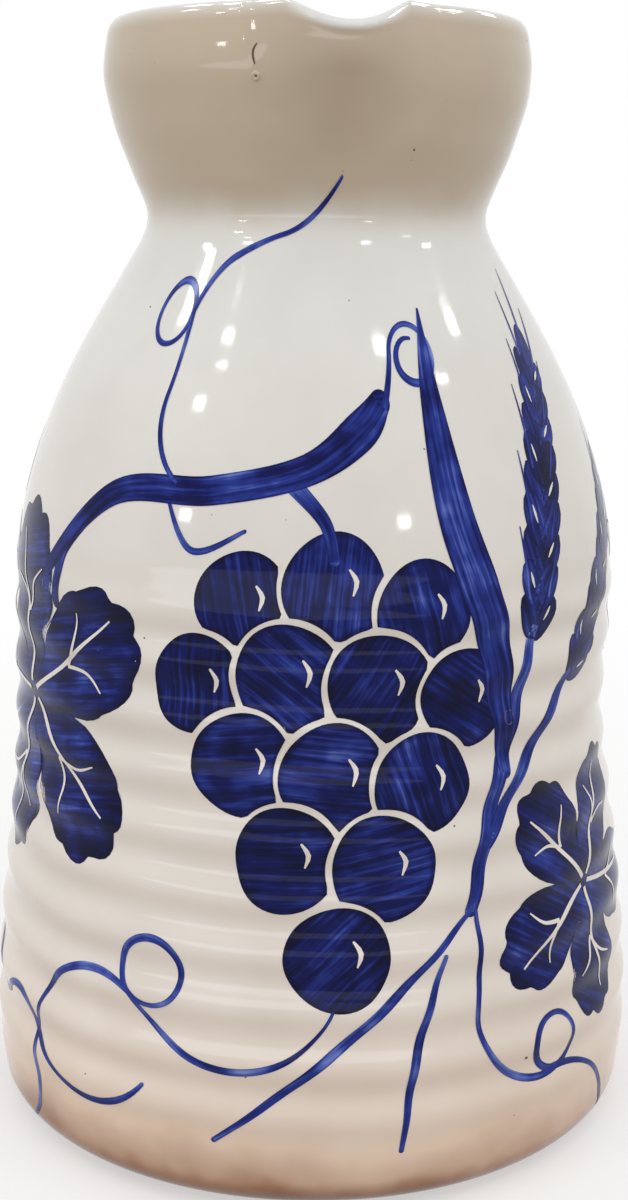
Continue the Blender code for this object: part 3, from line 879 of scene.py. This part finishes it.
# %% Cobalt blue under gloss
# Blue glass that has sunk into the white: as smooth as the glaze, with less of its mirror.
COBALT_GLOSS = 0.12
STREAK_LENGTH = 16 * MM
STREAK_WIDTH = 0.9 * MM
STREAK_CHANGE = 7.0
STREAK_SHARE = 1.1
WASH = 7 * MM
WASH_SHARE = 0.85
POOL_FROM = 0.86
POOL_DARKER = -0.22
COBALT_STOPS = [(0.05, "#02052E"), (0.33, "#0A145E"), (0.58, "#263A98"), (0.78, "#5A70C4"), (1.0, "#A0B2E4")]
cobalt, tree, shader = new_material("cobalt_blue_in_glaze")
brush = add_node(tree, "ShaderNodeAttribute", out="Vector", attribute_name="brush")
edge = add_node(tree, "ShaderNodeAttribute", out="Fac", attribute_name="edge")
value = add_node(tree, "ShaderNodeSeparateXYZ", [brush], "Z")
stretch = (1 / STREAK_LENGTH, 1 / STREAK_WIDTH, STREAK_CHANGE)
stretched = add_node(tree, "ShaderNodeVectorMath", [brush, stretch], operation="MULTIPLY")
streak = add_node(tree, "ShaderNodeTexNoise", {"Vector": stretched, "Scale": 1.0, "Detail": 3.0}, "Fac")
place = add_node(tree, "ShaderNodeTexCoord", out="Object")
wash = add_node(tree, "ShaderNodeTexNoise", {"Vector": place, "Scale": 1 / WASH, "Detail": 2.0}, "Fac")
pool = add_node(tree, "ShaderNodeMapRange", {
    "Value": edge, "From Min": POOL_FROM, "From Max": 1.0, "To Min": 0.0, "To Max": POOL_DARKER})
for source, share in ((streak, STREAK_SHARE), (wash, WASH_SHARE)):
    part = add_node(tree, "ShaderNodeMath", [source, -0.5], operation="ADD")
    value = add_node(tree, "ShaderNodeMath", [part, share, value], operation="MULTIPLY_ADD")
value = add_node(tree, "ShaderNodeMath", [value, pool], operation="ADD")
blue = add_node(tree, "ShaderNodeValToRGB", [value], stops=COBALT_STOPS)
fill_inputs(tree, shader, {
    "IOR": GLAZE_IOR, "Specular IOR Level": COBALT_GLOSS, "Roughness": GLAZE_ROUGHNESS,
    "Base Color": blue, "Normal": orange_peel(tree, place)})
print("made", cobalt.name)

# %% [markdown]
# ## Brush marks on the unrolled wall
# The ornament is the common vine and grain of wine jugs. Each mark is drawn afresh: berries
# and lobed leaves pressed on with a full brush, ears of grain, and tendrils from its tip.
# It is planned on the wall unrolled flat, in millimetres: x runs round the belly from the
# side that faces the camera, y is the height. A mark is either a line of brush points with
# half widths, or a dab, which is a patch round a middle.

# %% Lines and dabs
PRESS_CHANGE = 0.2
PRESS_PACE = 0.25
TIP_SHARE = 0.55
TIP_PACE = 4.0
ROUND_TIP = 0.3
TIP_RINGS = 4
TIP_SIDES = 24
SCRATCH_LAYER = 3
lines = {"cobalt": [], "scratch": [], "flaw": []}
dabs = []


def dab(centre, reach, tone, grain, layer=0, rings=14, sides=56):
    """Note a patch of colour: reach gives its radius for an angle, grain is the brush's way."""
    rims = [reach(FULL_TURN * side / sides) for side in range(sides)]
    dabs.append((centre, rims, rings, tone, math.radians(grain), layer))


def draw(points, half_width, tone=0.55, layer=1, kind="cobalt"):
    """Note a line of the brush, with round tips. A list of half widths is kept, a single one tapers."""
    count = len(points) - 1
    widths = half_width
    if not isinstance(half_width, list):
        press = [1 + PRESS_CHANGE * math.sin(PRESS_PACE * i + points[0][0]) for i in range(count + 1)]
        tips = [min(1.0, TIP_SHARE + TIP_PACE * min(i, count - i) / count) for i in range(count + 1)]
        widths = [half_width * one * two for one, two in zip(press, tips)]
    for end in (0, -1):
        if kind == "cobalt" and widths[end] > ROUND_TIP:
            dab(points[end], lambda angle, size=widths[end]: size, tone, 0, layer, TIP_RINGS, TIP_SIDES)
    lines[kind].append((points, widths, tone, layer))


def scratch(points, widths):
    """Note a line scratched through the wet colour."""
    draw(points, widths, 0.0, SCRATCH_LAYER, "scratch")


print("line kinds:", list(lines))

# %% Tendrils
TENDRIL_STEP = 1.6


def away_from(point, angle, distance):
    """The place at a distance from a point, along an angle."""
    return point[0] + distance * math.cos(angle), point[1] + distance * math.sin(angle)


def tendril(start, heading, runs, half_width=0.66, tone=0.6):
    """A line that winds: each run has a length in mm and the degrees that it turns on the way."""
    angle = math.radians(heading)
    points = [start]
    for length, turn in runs:
        count = round(length / TENDRIL_STEP)
        for _ in range(count):
            angle += math.radians(turn) / count
            points.append(away_from(points[-1], angle, TENDRIL_STEP))
    draw(points, half_width, tone)


print("a tendril has a point every", TENDRIL_STEP, "mm")

# %% Motif: a bunch of berries
BERRY_GAP = 1.1
LAYERS = 4
BERRY_WOBBLE = 0.025
SMALLEST_REACH = 0.5
BERRY_TONES = (0.24, 0.42)
COMMA = [(0.28, 0.34), (0.42, 0.12), (0.35, -0.14)]
COMMA_WIDTHS = [0.2, 0.5, 0.15]
rng = random.Random(11)


def berry_reach(berry, front_berries):
    """Radius of a berry by angle, bitten where a berry in front lies over it."""
    x, y, r = berry

    def reach(angle):
        way = (math.cos(angle), math.sin(angle))
        limit = r * (1 + BERRY_WOBBLE * math.sin(3 * angle + x))
        for other_x, other_y, other_r in front_berries:
            along = (other_x - x) * way[0] + (other_y - y) * way[1]
            apart = (other_x - x) ** 2 + (other_y - y) ** 2 - along * along
            room = (other_r + BERRY_GAP) ** 2 - apart
            if along > 0 and room > 0:
                limit = min(limit, along - math.sqrt(room))
        return max(limit, SMALLEST_REACH)

    return reach


def bunch(berries):
    """A bunch painted from the back to the front, with a lit comma left on each berry."""
    for i, (x, y, r) in enumerate(berries):
        tone = rng.uniform(*BERRY_TONES)
        dab((x, y), berry_reach((x, y, r), berries[i + 1:]), tone, rng.uniform(0, 180), layer=i % LAYERS)
        scratch([(x + across * r, y + up * r) for across, up in COMMA], COMMA_WIDTHS)


print("berries stand", BERRY_GAP, "mm apart")

# %% Motif: a lobed leaf
LOBES = 5
LOBE_ROUND = 0.7
LEAF_HEART = 0.42
SCALLOPS = 14
SCALLOP_DEPTH = 0.055
SCALLOP_TUCK = 0.03
LEAF_TONE = 0.34
VEIN_BEND = 0.12
VEIN_SHARES = (0.05, 0.3, 0.6, 0.86)
VEIN_WIDTHS = [0.5, 0.5, 0.42, 0.2]
FORK_SHARES = (0.16, 0.3)
FORK_TURNS = (0.55, 0.8)
FORK_WIDTHS = [0.4, 0.34, 0.15]


def leaf(centre, size, turn):
    """A lobed leaf with a scalloped edge, and veins scratched through the wet colour."""
    def reach(angle):
        lobe = abs(math.cos(LOBES / 2 * (angle - math.radians(turn)))) ** LOBE_ROUND
        scallop = 1 + SCALLOP_DEPTH * abs(math.sin(SCALLOPS * angle)) - SCALLOP_TUCK
        return size * (LEAF_HEART + (1 - LEAF_HEART) * lobe) * scallop

    dab(centre, reach, LEAF_TONE, turn + 90, layer=1, rings=40, sides=180)
    for lobe in range(LOBES):
        angle = math.radians(turn + 360 / LOBES * lobe)
        vein = [away_from(centre, angle + VEIN_BEND * share, size * share) for share in VEIN_SHARES]
        scratch(vein, VEIN_WIDTHS)
        fork = away_from(centre, angle, LEAF_HEART * size)
        for side in (-1, 1):
            branch = [away_from(fork, angle + side * bend, share * size)
                      for share, bend in zip(FORK_SHARES, FORK_TURNS)]
            scratch([fork] + branch, FORK_WIDTHS)


print("leaf lobes:", LOBES, "scallops:", 2 * SCALLOPS)

# %% Motif: an ear of grain
KERNEL_WIDTH = 0.56
KERNEL_LEAN = 0.5
KERNEL_FOOT = 0.75
KERNEL_SHRINK = 0.35
FULLEST_PART = 0.35
KERNEL_TONES = (0.25, 0.42)
GLINT_SHARES = (-0.1, 0.2, 0.5)
GLINT_WIDTHS = [0.1, 0.34, 0.1]
AWN_LEAN = 0.24
AWN_LENGTHS = (14, 22)
AWN_SHARES = (0.2, 0.6, 1.0)
AWN_WIDTHS = [0.4, 0.34, 0.14]


def kernel_reach(size, lean):
    """Radius of an oval kernel by angle."""
    wide = KERNEL_WIDTH * size
    return lambda turn: size * wide / math.hypot(wide * math.cos(turn - lean), size * math.sin(turn - lean))


def ear(foot, heading, length, bend, pairs=8, grain_size=4.6):
    """An ear of grain: pairs of kernels up a bent stem, a kernel on top, and thin awns."""
    angle = math.radians(heading)
    stem = foot
    for i in range(pairs + 1):
        size = grain_size * (1.0 - KERNEL_SHRINK * abs(i / pairs - FULLEST_PART))
        for side in (-1, 1) if i < pairs else (0,):
            lean = angle - side * KERNEL_LEAN
            middle = away_from(stem, lean, size * KERNEL_FOOT)
            tone = rng.uniform(*KERNEL_TONES)
            dab(middle, kernel_reach(size, lean), tone, math.degrees(lean), 2 + i % 2, rings=4, sides=20)
            if side == (-1) ** i:
                glint = [away_from(middle, lean, size * share) for share in GLINT_SHARES]
                scratch(glint, GLINT_WIDTHS)
            if i % 2 == 0 or i == pairs:
                awn = rng.uniform(*AWN_LENGTHS)
                tip = angle - side * AWN_LEAN
                draw([away_from(middle, tip, awn * share) for share in AWN_SHARES], AWN_WIDTHS, 0.6)
        stem = away_from(stem, angle, length / pairs)
        angle += math.radians(bend) / pairs


print("kernels are", KERNEL_WIDTH, "as wide as long")

# %% Plan the side that faces the camera
bunch([(-14, 121, 9.6), (4, 124, 10.2), (22, 119, 9.8), (-23, 105, 9.6), (-5, 107, 10.4), (13, 105, 10.4),
       (31, 102, 9.6), (-14, 90, 10.2), (4, 88, 10.6), (22, 86, 10.0), (-5, 72, 10.2), (14, 70, 10.4),
       (5, 53, 10.2)])
leaf((-72, 96), 39, 100)
leaf((66, 58), 29, 60)
ear((49, 112), 82, 54, -22, pairs=9, grain_size=6.0)
ear((62, 102), 46, 46, 18, pairs=8, grain_size=5.4)
draw([(32, 60), (39, 84), (44, 100), (49, 114)], [1.4, 1.8, 1.6, 1.0])
draw([(36, 72), (49, 90), (62, 103)], [1.2, 1.4, 0.9])
draw([(41, 86), (38, 112), (30, 136), (28, 158), (30, 174)], [1.4, 4.0, 4.2, 2.6, 0.3], 0.45)
draw([(-66, 122), (-46, 139), (-22, 141), (-2, 145), (10, 152), (15, 157)],
     [1.5, 2.4, 2.7, 2.9, 3.7, 2.5], 0.4)
draw([(-62, 116), (-60, 126), (-53, 134)], [1.3, 1.5, 1.7], 0.45)
draw([(-5, 143), (2, 136), (4, 129)], [1.7, 1.3, 1.1], 0.5)
draw([(-32, 140), (-25, 130), (-14, 134)], 0.7)
tendril((-30, 142), 150, [(20, -70), (16, 20), (36, 340), (16, -60), (16, -10), (22, 35)])
tendril((14, 152), 60, [(16, 20), (14, -140), (14, -160), (9, -140)])
tendril((4, 43), -110, [(18, -50), (18, -50), (16, -20), (40, -345), (22, 80), (26, 60), (12, -70)])
tendril((33, 60), -80, [(18, -20), (20, 60), (16, 60), (34, 340), (22, -60), (16, -40)])
tendril((-98, 40), -10, [(18, -50), (8, 110), (16, -110), (22, 60), (14, 50)])
draw([(32, 60), (8, 38), (-18, 16)], 0.85)
draw([(26, 52), (20, 34), (17, 14)], 0.75)
print("front side:", len(dabs), "dabs,", len(lines["cobalt"]), "lines")

# %% Plan the two sides towards the handle
SIDE_MIDDLE = 145
SIDE_BERRIES = [(-9, 113, 9.4), (9, 111, 9.4), (-17, 97, 9.6), (0, 96, 10.0),
                (16, 95, 9.4), (-8, 80, 9.8), (9, 79, 9.8), (1, 63, 9.8)]


def mirrored(points, side):
    """Points round the middle of one side, the other way round on the other side."""
    return [(SIDE_MIDDLE * side + x * side, y) for x, y in points]


for side in (-1, 1):
    places = mirrored([(x, y) for x, y, r in SIDE_BERRIES], side)
    bunch([(x, y, r) for (x, y), (_, _, r) in zip(places, SIDE_BERRIES)])
    leaf_middle, ear_foot, curl, tail = mirrored([(-31, 124), (27, 104), (0, 141), (1, 52)], side)
    leaf(leaf_middle, 27, 75 + 15 * side)
    ear(ear_foot, 90 - 20 * side, 42, -18 * side, grain_size=5.2)
    draw(mirrored([(9, 66), (19, 86), (27, 106)], side), [1.0, 1.5, 1.0], 0.5)
    draw(mirrored([(-27, 136), (-8, 142), (6, 138), (0, 124)], side), [1.3, 2.3, 2.1, 1.1], 0.42)
    tendril(curl, 90 + 30 * side, [(20, 20 * side), (16, -60 * side), (24, -330 * side), (16, 40 * side)])
    tendril(tail, -90 - 10 * side, [(20, 30 * side), (18, 40 * side), (26, -330 * side), (24, 30 * side)])
print("all round:", len(dabs), "dabs,", len(lines["cobalt"]), "lines,", len(lines["scratch"]), "scratches")

# %% [markdown]
# ## Flaws of the kiln
# A hand-made glaze has small flaws: a nick where the spout's seam opened, a burst blister
# under it, pinholes and a ring left by a bubble. They are few and each has its place, so
# they are set where the photograph shows them, with the camera's own rays as the guide.
# Specks of iron from the clay are many and may lie anywhere, so a Geometry Nodes tree with
# a fixed seed scatters them over both walls.

# %% Clay that shows through
# Raw red-brown clay in a flaw, in shade and rough.
FLAW_ROUGHNESS = 0.6
UNROLL_RADIUS = 67 * MM
NICK = ((257, 43), (253.5, 49), (253, 56), (255, 64))
NICK_WIDTHS = [0.12, 0.26, 0.3, 0.14]
PINHOLES = (((414, 150), 0.26), ((411, 160), 0.14), ((526, 1058), 0.3),
            ((286, 520), 0.12), ((388, 1000), 0.14))
BUBBLE = (509, 717)
BUBBLE_SIZE = (1.1, 1.4)
BUBBLE_ARC = (0, 308, 15)
BUBBLE_LINE = 0.1
BUBBLE_CHANGE = 0.05
PINHOLE_BULGE = 0.3
PINHOLE_TIP = 0.5
flaw_clay, tree, shader = new_material("clay_in_a_flaw")
fill_inputs(tree, shader, {"Base Color": to_linear("#5E4636"), "Roughness": FLAW_ROUGHNESS})


def on_plan(pixel):
    """The place on the unrolled wall, in mm, that a pixel of the photograph shows."""
    spots = [spot for spot in (look_at(pixel, skin)[1], look_at(pixel, collar_skin)[1]) if spot]
    spot = min(spots, key=lambda place: (place - camera.matrix_world.translation).length)
    turn = (math.atan2(spot.y, spot.x) - FRONT + math.pi) % FULL_TURN - math.pi
    return turn * UNROLL_RADIUS / MM, spot.z / MM


draw([on_plan(pixel) for pixel in NICK], NICK_WIDTHS, 0, kind="flaw")
for pixel, size in PINHOLES:
    x, y = on_plan(pixel)
    tip = PINHOLE_TIP * size
    dot = [(x - size, y), (x, y + PINHOLE_BULGE * size), (x + size, y)]
    draw(dot, [tip, size, tip], 0, kind="flaw")
bubble = arc(on_plan(BUBBLE), BUBBLE_SIZE, *BUBBLE_ARC)
ring_widths = [BUBBLE_LINE + BUBBLE_CHANGE * math.sin(i) for i in range(len(bubble))]
draw(bubble, ring_widths, 0, kind="flaw")
print("flaws:", len(lines["flaw"]))

# %% The burst blister
BLISTER_STEPS = 32
BLISTER_PIXEL = (256, 76)
BLISTER_PIT = 0.3 * MM
BLISTER_LINE = [(0.0, 0.02), (0.2, 0.04), (0.32, 0.3), (0.55, 0.4), (0.8, 0.24), (1.05, -0.06)]
blister = turn_line("glaze_blister", [(r * MM, z * MM, 1) for r, z in BLISTER_LINE], BLISTER_STEPS, False)
spot, normal = look_at(BLISTER_PIXEL, collar_skin)[1:]
blister.data.transform(Matrix.Translation(spot) @ normal.to_track_quat("Z", "Y").to_matrix().to_4x4())
for material in (white_glaze, flaw_clay):
    blister.data.materials.append(material)
for face in blister.data.polygons:
    face.material_index = int((face.center - spot).length < BLISTER_PIT)
hand_over(blister)

# %% Build the tree of the iron specks
specks, given, result = new_tree("iron_specks", {
    "Belly": "Object", "Collar": "Object", "Density": "Float", "Seed": "Int", "Size": "Float",
    "Smallest": "Float", "Flatness": "Float", "Above": "Float", "Iron": "Material"})
walls = [add_node(specks, "GeometryNodeObjectInfo", {"Object": given[name]}, "Geometry")
         for name in ("Collar", "Belly")]
wall = add_node(specks, "GeometryNodeJoinGeometry", [walls])
place = add_node(specks, "GeometryNodeInputPosition")
height = add_node(specks, "ShaderNodeSeparateXYZ", [place], "Z")
high = add_node(specks, "ShaderNodeMath", [height, given["Above"]], operation="GREATER_THAN")
scatter = add_node(specks, "GeometryNodeDistributePointsOnFaces", {
    "Mesh": wall, "Selection": high, "Density": given["Density"], "Seed": given["Seed"]}, None)
ball = add_node(specks, "GeometryNodeMeshIcoSphere", {"Radius": given["Size"], "Subdivisions": 2})
grow = add_node(specks, "FunctionNodeRandomValue", {2: given["Smallest"], 3: 1.0, "Seed": given["Seed"]}, 1,
                data_type="FLOAT")
flat = add_node(specks, "ShaderNodeMath", [grow, given["Flatness"]], operation="MULTIPLY")
shape = add_node(specks, "ShaderNodeCombineXYZ", [grow, grow, flat])
copies = add_node(specks, "GeometryNodeInstanceOnPoints", {
    "Points": scatter["Points"], "Instance": ball, "Rotation": scatter["Rotation"], "Scale": shape})
plain = add_node(specks, "GeometryNodeRealizeInstances", [copies])
iron = add_node(specks, "GeometryNodeSetMaterial", {"Geometry": plain, "Material": given["Iron"]})
specks.links.new(iron, result[0])
print("speck tree:", len(specks.nodes), "nodes")

# %% Scatter the specks
iron_specks = put_in_scene("iron_specks", bpy.data.meshes.new("iron_specks"))
apply_tree(iron_specks, specks, {
    "Belly": glazed_body, "Collar": glazed_collar, "Density": 360.0, "Seed": 5, "Size": 0.22 * MM,
    "Smallest": 0.3, "Flatness": 0.3, "Above": 12 * MM, "Iron": flaw_clay})
hand_over(iron_specks)

# %% [markdown]
# ## Laying the marks on the wall
# Lines are only points so far, so a Geometry Nodes tree gives them body: the points become
# smooth curves, a cross line as wide as the brush is swept along them, the dabs are joined
# in, and the flat sheet is wrapped round the axis and cast on the wall with rays. Painting
# in a texture would need an image; real marks keep their edges from any distance.

# %% Sweep the brush along the lines
brushwork, given, result = new_tree("brushwork", {
    "Dabs": "Object", "Belly": "Object", "Collar": "Object", "Step": "Float", "Rows": "Int",
    "Unroll Radius": "Float", "Front": "Float", "Lift": "Float", "Layer Step": "Float", "Paint": "Material"})
curve = add_node(brushwork, "GeometryNodeMeshToCurve", {"Mesh": given["Geometry"]})
curve = add_node(brushwork, "GeometryNodeCurveSplineType", {"Curve": curve}, spline_type="CATMULL_ROM")
curve = add_node(brushwork, "GeometryNodeResampleCurve", {"Curve": curve, "Length": given["Step"]},
                 mode="LENGTH")
curve = add_node(brushwork, "GeometryNodeSetCurveNormal", {"Curve": curve}, mode="Z_UP")
run = add_node(brushwork, "GeometryNodeSplineParameter", out="Length")
curve = add_node(brushwork, "GeometryNodeStoreNamedAttribute", {
    "Geometry": curve, "Name": "along", "Value": run}, data_type="FLOAT", domain="POINT")
bar = add_node(brushwork, "GeometryNodeCurvePrimitiveLine", {"Start": (-1, 0, 0), "End": (1, 0, 0)})
bar = add_node(brushwork, "GeometryNodeResampleCurve", {"Curve": bar, "Count": given["Rows"]}, mode="COUNT")
part = add_node(brushwork, "GeometryNodeSplineParameter", out="Factor")
from_middle = add_node(brushwork, "ShaderNodeMath", [part, 2.0, -1.0], operation="MULTIPLY_ADD")
bar = add_node(brushwork, "GeometryNodeStoreNamedAttribute", {
    "Geometry": bar, "Name": "across", "Value": from_middle}, data_type="FLOAT", domain="POINT")
stored = {name: add_node(brushwork, "GeometryNodeInputNamedAttribute", {"Name": name}, data_type="FLOAT")
          for name in ("along", "across", "tone", "half_width", "layer")}
ribbon = add_node(brushwork, "GeometryNodeCurveToMesh", {
    "Curve": curve, "Profile Curve": bar, "Scale": stored["half_width"]})
edge = add_node(brushwork, "ShaderNodeMath", [stored["across"]], operation="ABSOLUTE")
aside = add_node(brushwork, "ShaderNodeMath", [stored["across"], stored["half_width"]], operation="MULTIPLY")
brush = add_node(brushwork, "ShaderNodeCombineXYZ", [stored["along"], aside, stored["tone"]])
for name, value, kind in (("edge", edge, "FLOAT"), ("brush", brush, "FLOAT_VECTOR")):
    ribbon = add_node(brushwork, "GeometryNodeStoreNamedAttribute", out=0, data_type=kind, domain="POINT",
                      inputs={"Geometry": ribbon, "Name": name, "Value": value})
print("ribbons wired,", len(brushwork.nodes), "nodes")

# %% Wrap the flat marks round the jug
shapes = {name: add_node(brushwork, "GeometryNodeObjectInfo", {"Object": given[name]}, "Geometry")
          for name in ("Dabs", "Collar", "Belly")}
sheet = add_node(brushwork, "GeometryNodeJoinGeometry", [[shapes["Dabs"], ribbon]])
target = add_node(brushwork, "GeometryNodeJoinGeometry", [[shapes["Collar"], shapes["Belly"]]])
here = add_node(brushwork, "GeometryNodeInputPosition")
flat = add_node(brushwork, "ShaderNodeSeparateXYZ", [here], None)
known = {socket.name: socket for socket in [*given, *flat]} | stored
for name, operation, *parts in (
        ("part turn", "DIVIDE", "X", "Unroll Radius"),
        ("turn", "ADD", "part turn", "Front"),
        ("cosine", "COSINE", "turn"),
        ("sine", "SINE", "turn"),
        ("height", "MULTIPLY_ADD", "layer", "Layer Step", "Lift")):
    inputs = [known.get(part, part) for part in parts]
    known[name] = add_node(brushwork, "ShaderNodeMath", inputs, operation=operation)
way = add_node(brushwork, "ShaderNodeCombineXYZ", [known["cosine"], known["sine"]])
start = add_node(brushwork, "ShaderNodeVectorMath", {0: way, "Scale": FAR}, operation="SCALE")
rise = add_node(brushwork, "ShaderNodeCombineXYZ", {2: flat["Y"]})
start = add_node(brushwork, "ShaderNodeVectorMath", [start, rise], operation="ADD")
inwards = add_node(brushwork, "ShaderNodeVectorMath", {0: way, "Scale": -1.0}, operation="SCALE")
ray = add_node(brushwork, "GeometryNodeRaycast", {
    "Target Geometry": target, "Source Position": start, "Ray Direction": inwards, "Ray Length": FAR}, None)
proud = add_node(brushwork, "ShaderNodeVectorMath", {0: ray["Hit Normal"], "Scale": known["height"]},
                 operation="SCALE")
spot = add_node(brushwork, "ShaderNodeVectorMath", [ray["Hit Position"], proud], operation="ADD")
laid = add_node(brushwork, "GeometryNodeSetPosition", {"Geometry": sheet, "Position": spot})
print("marks wrapped,", len(brushwork.nodes), "nodes")

# %% Turn all faces outwards and finish the tree
facing = add_node(brushwork, "GeometryNodeInputNormal")
here = add_node(brushwork, "GeometryNodeInputPosition")
level = add_node(brushwork, "ShaderNodeVectorMath", [here, (1.0, 1.0, 0.0)], operation="MULTIPLY")
outwards = add_node(brushwork, "ShaderNodeVectorMath", [facing, level], "Value", operation="DOT_PRODUCT")
wrong = add_node(brushwork, "ShaderNodeMath", [outwards, 0.0], operation="LESS_THAN")
turned = add_node(brushwork, "GeometryNodeFlipFaces", {"Mesh": laid, "Selection": wrong})
smooth = add_node(brushwork, "GeometryNodeSetShadeSmooth", {"Geometry": turned})
plain = add_node(brushwork, "GeometryNodeRealizeInstances", [smooth])
paint = add_node(brushwork, "GeometryNodeSetMaterial", {"Geometry": plain, "Material": given["Paint"]})
brushwork.links.new(paint, result[0])
print("brushwork tree:", len(brushwork.nodes), "nodes")

# %% Turn the lines into a mesh
def flat_mesh(name, points, edges, faces, numbers, vectors=None):
    """A flat mesh object that carries a number or a vector for each point."""
    mesh = bpy.data.meshes.new(name)
    mesh.from_pydata([(x * MM, y * MM, 0) for x, y in points], edges, faces)
    for label, values in numbers.items():
        mesh.attributes.new(label, "FLOAT", "POINT").data.foreach_set("value", values)
    for label, values in (vectors or {}).items():
        mesh.attributes.new(label, "FLOAT_VECTOR", "POINT").data.foreach_set("vector", np.ravel(values))
    return put_in_scene(name, mesh)


def line_plan(name, kind):
    """All lines of one kind as loose edges."""
    points, edges = [], []
    numbers = {"half_width": [], "tone": [], "layer": []}
    for index, (line, widths, tone, layer) in enumerate(lines[kind]):
        edges += [(len(points) + i, len(points) + i + 1) for i in range(len(line) - 1)]
        points += line
        numbers["half_width"] += [width * MM for width in widths]
        numbers["tone"] += [tone] * len(line)
        numbers["layer"] += [float(LAYERS * layer + index % LAYERS)] * len(line)
    return flat_mesh(name, points, edges, [], numbers)


print("brush points:", sum(len(line[0]) for line in lines["cobalt"]))

# %% Turn the dabs into a mesh
BRUSH_SWING = 0.04
BRUSH_APART = 3


def dab_plan(name, marks):
    """All dabs as rings of faces round their middles."""
    points, faces, brush = [], [], []
    numbers = {"edge": [], "layer": []}
    for (x, y), rims, rings, tone, grain, layer in marks:
        first = len(points)
        sides = len(rims)
        places = [(0, 0, 0)]
        for share in (ring / rings for ring in range(1, rings + 1)):
            places += [(*away_from((0, 0), FULL_TURN * i / sides, share * rim), share)
                       for i, rim in enumerate(rims)]
        for dx, dy, share in places:
            points.append((x + dx, y + dy))
            numbers["edge"].append(share)
            numbers["layer"].append(float(layer))
            u = dx * math.cos(grain) + dy * math.sin(grain)
            v = dy * math.cos(grain) - dx * math.sin(grain)
            brush.append(((u + BRUSH_SWING * v * v + BRUSH_APART * x) * MM, (v + y) * MM, tone))
        faces += [(first, first + 1 + i, first + 1 + (i + 1) % sides) for i in range(sides)]
        for low in range(first + 1, first + 1 + (rings - 1) * sides, sides):
            faces += [(low + i, low + sides + i, low + sides + (i + 1) % sides, low + (i + 1) % sides)
                      for i in range(sides)]
    return flat_mesh(name, points, [], faces, numbers, {"brush": brush})


print("one unrolled turn in mm:", round(FULL_TURN * UNROLL_RADIUS / MM))

# %% Paint the jug
PAINT_LIFT = 0.05 * MM
LAYER_STEP = 0.008 * MM
BRUSH_STEP = 0.8 * MM
FLAW_STEP = 0.2 * MM
BRUSH_ROWS = 9
dab_sheet = dab_plan("dab_sheet", dabs)
no_dabs = dab_plan("no_dabs", [])
on_wall = {"Belly": glazed_body, "Collar": glazed_collar, "Rows": BRUSH_ROWS, "Unroll Radius": UNROLL_RADIUS,
           "Front": FRONT, "Lift": PAINT_LIFT, "Layer Step": LAYER_STEP}
painted = []
for name, kind, step, sheet, paint in (
        ("cobalt_brushwork", "cobalt", BRUSH_STEP, dab_sheet, cobalt),
        ("scratched_lines", "scratch", BRUSH_STEP, no_dabs, white_glaze),
        ("glaze_flaws", "flaw", FLAW_STEP, no_dabs, flaw_clay)):
    piece = line_plan(name, kind)
    apply_tree(piece, brushwork, {**on_wall, "Step": step, "Dabs": sheet, "Paint": paint})
    painted.append(piece)
for sheet in (dab_sheet, no_dabs):
    bpy.data.objects.remove(sheet, do_unlink=True)
for piece in painted:
    hand_over(piece)
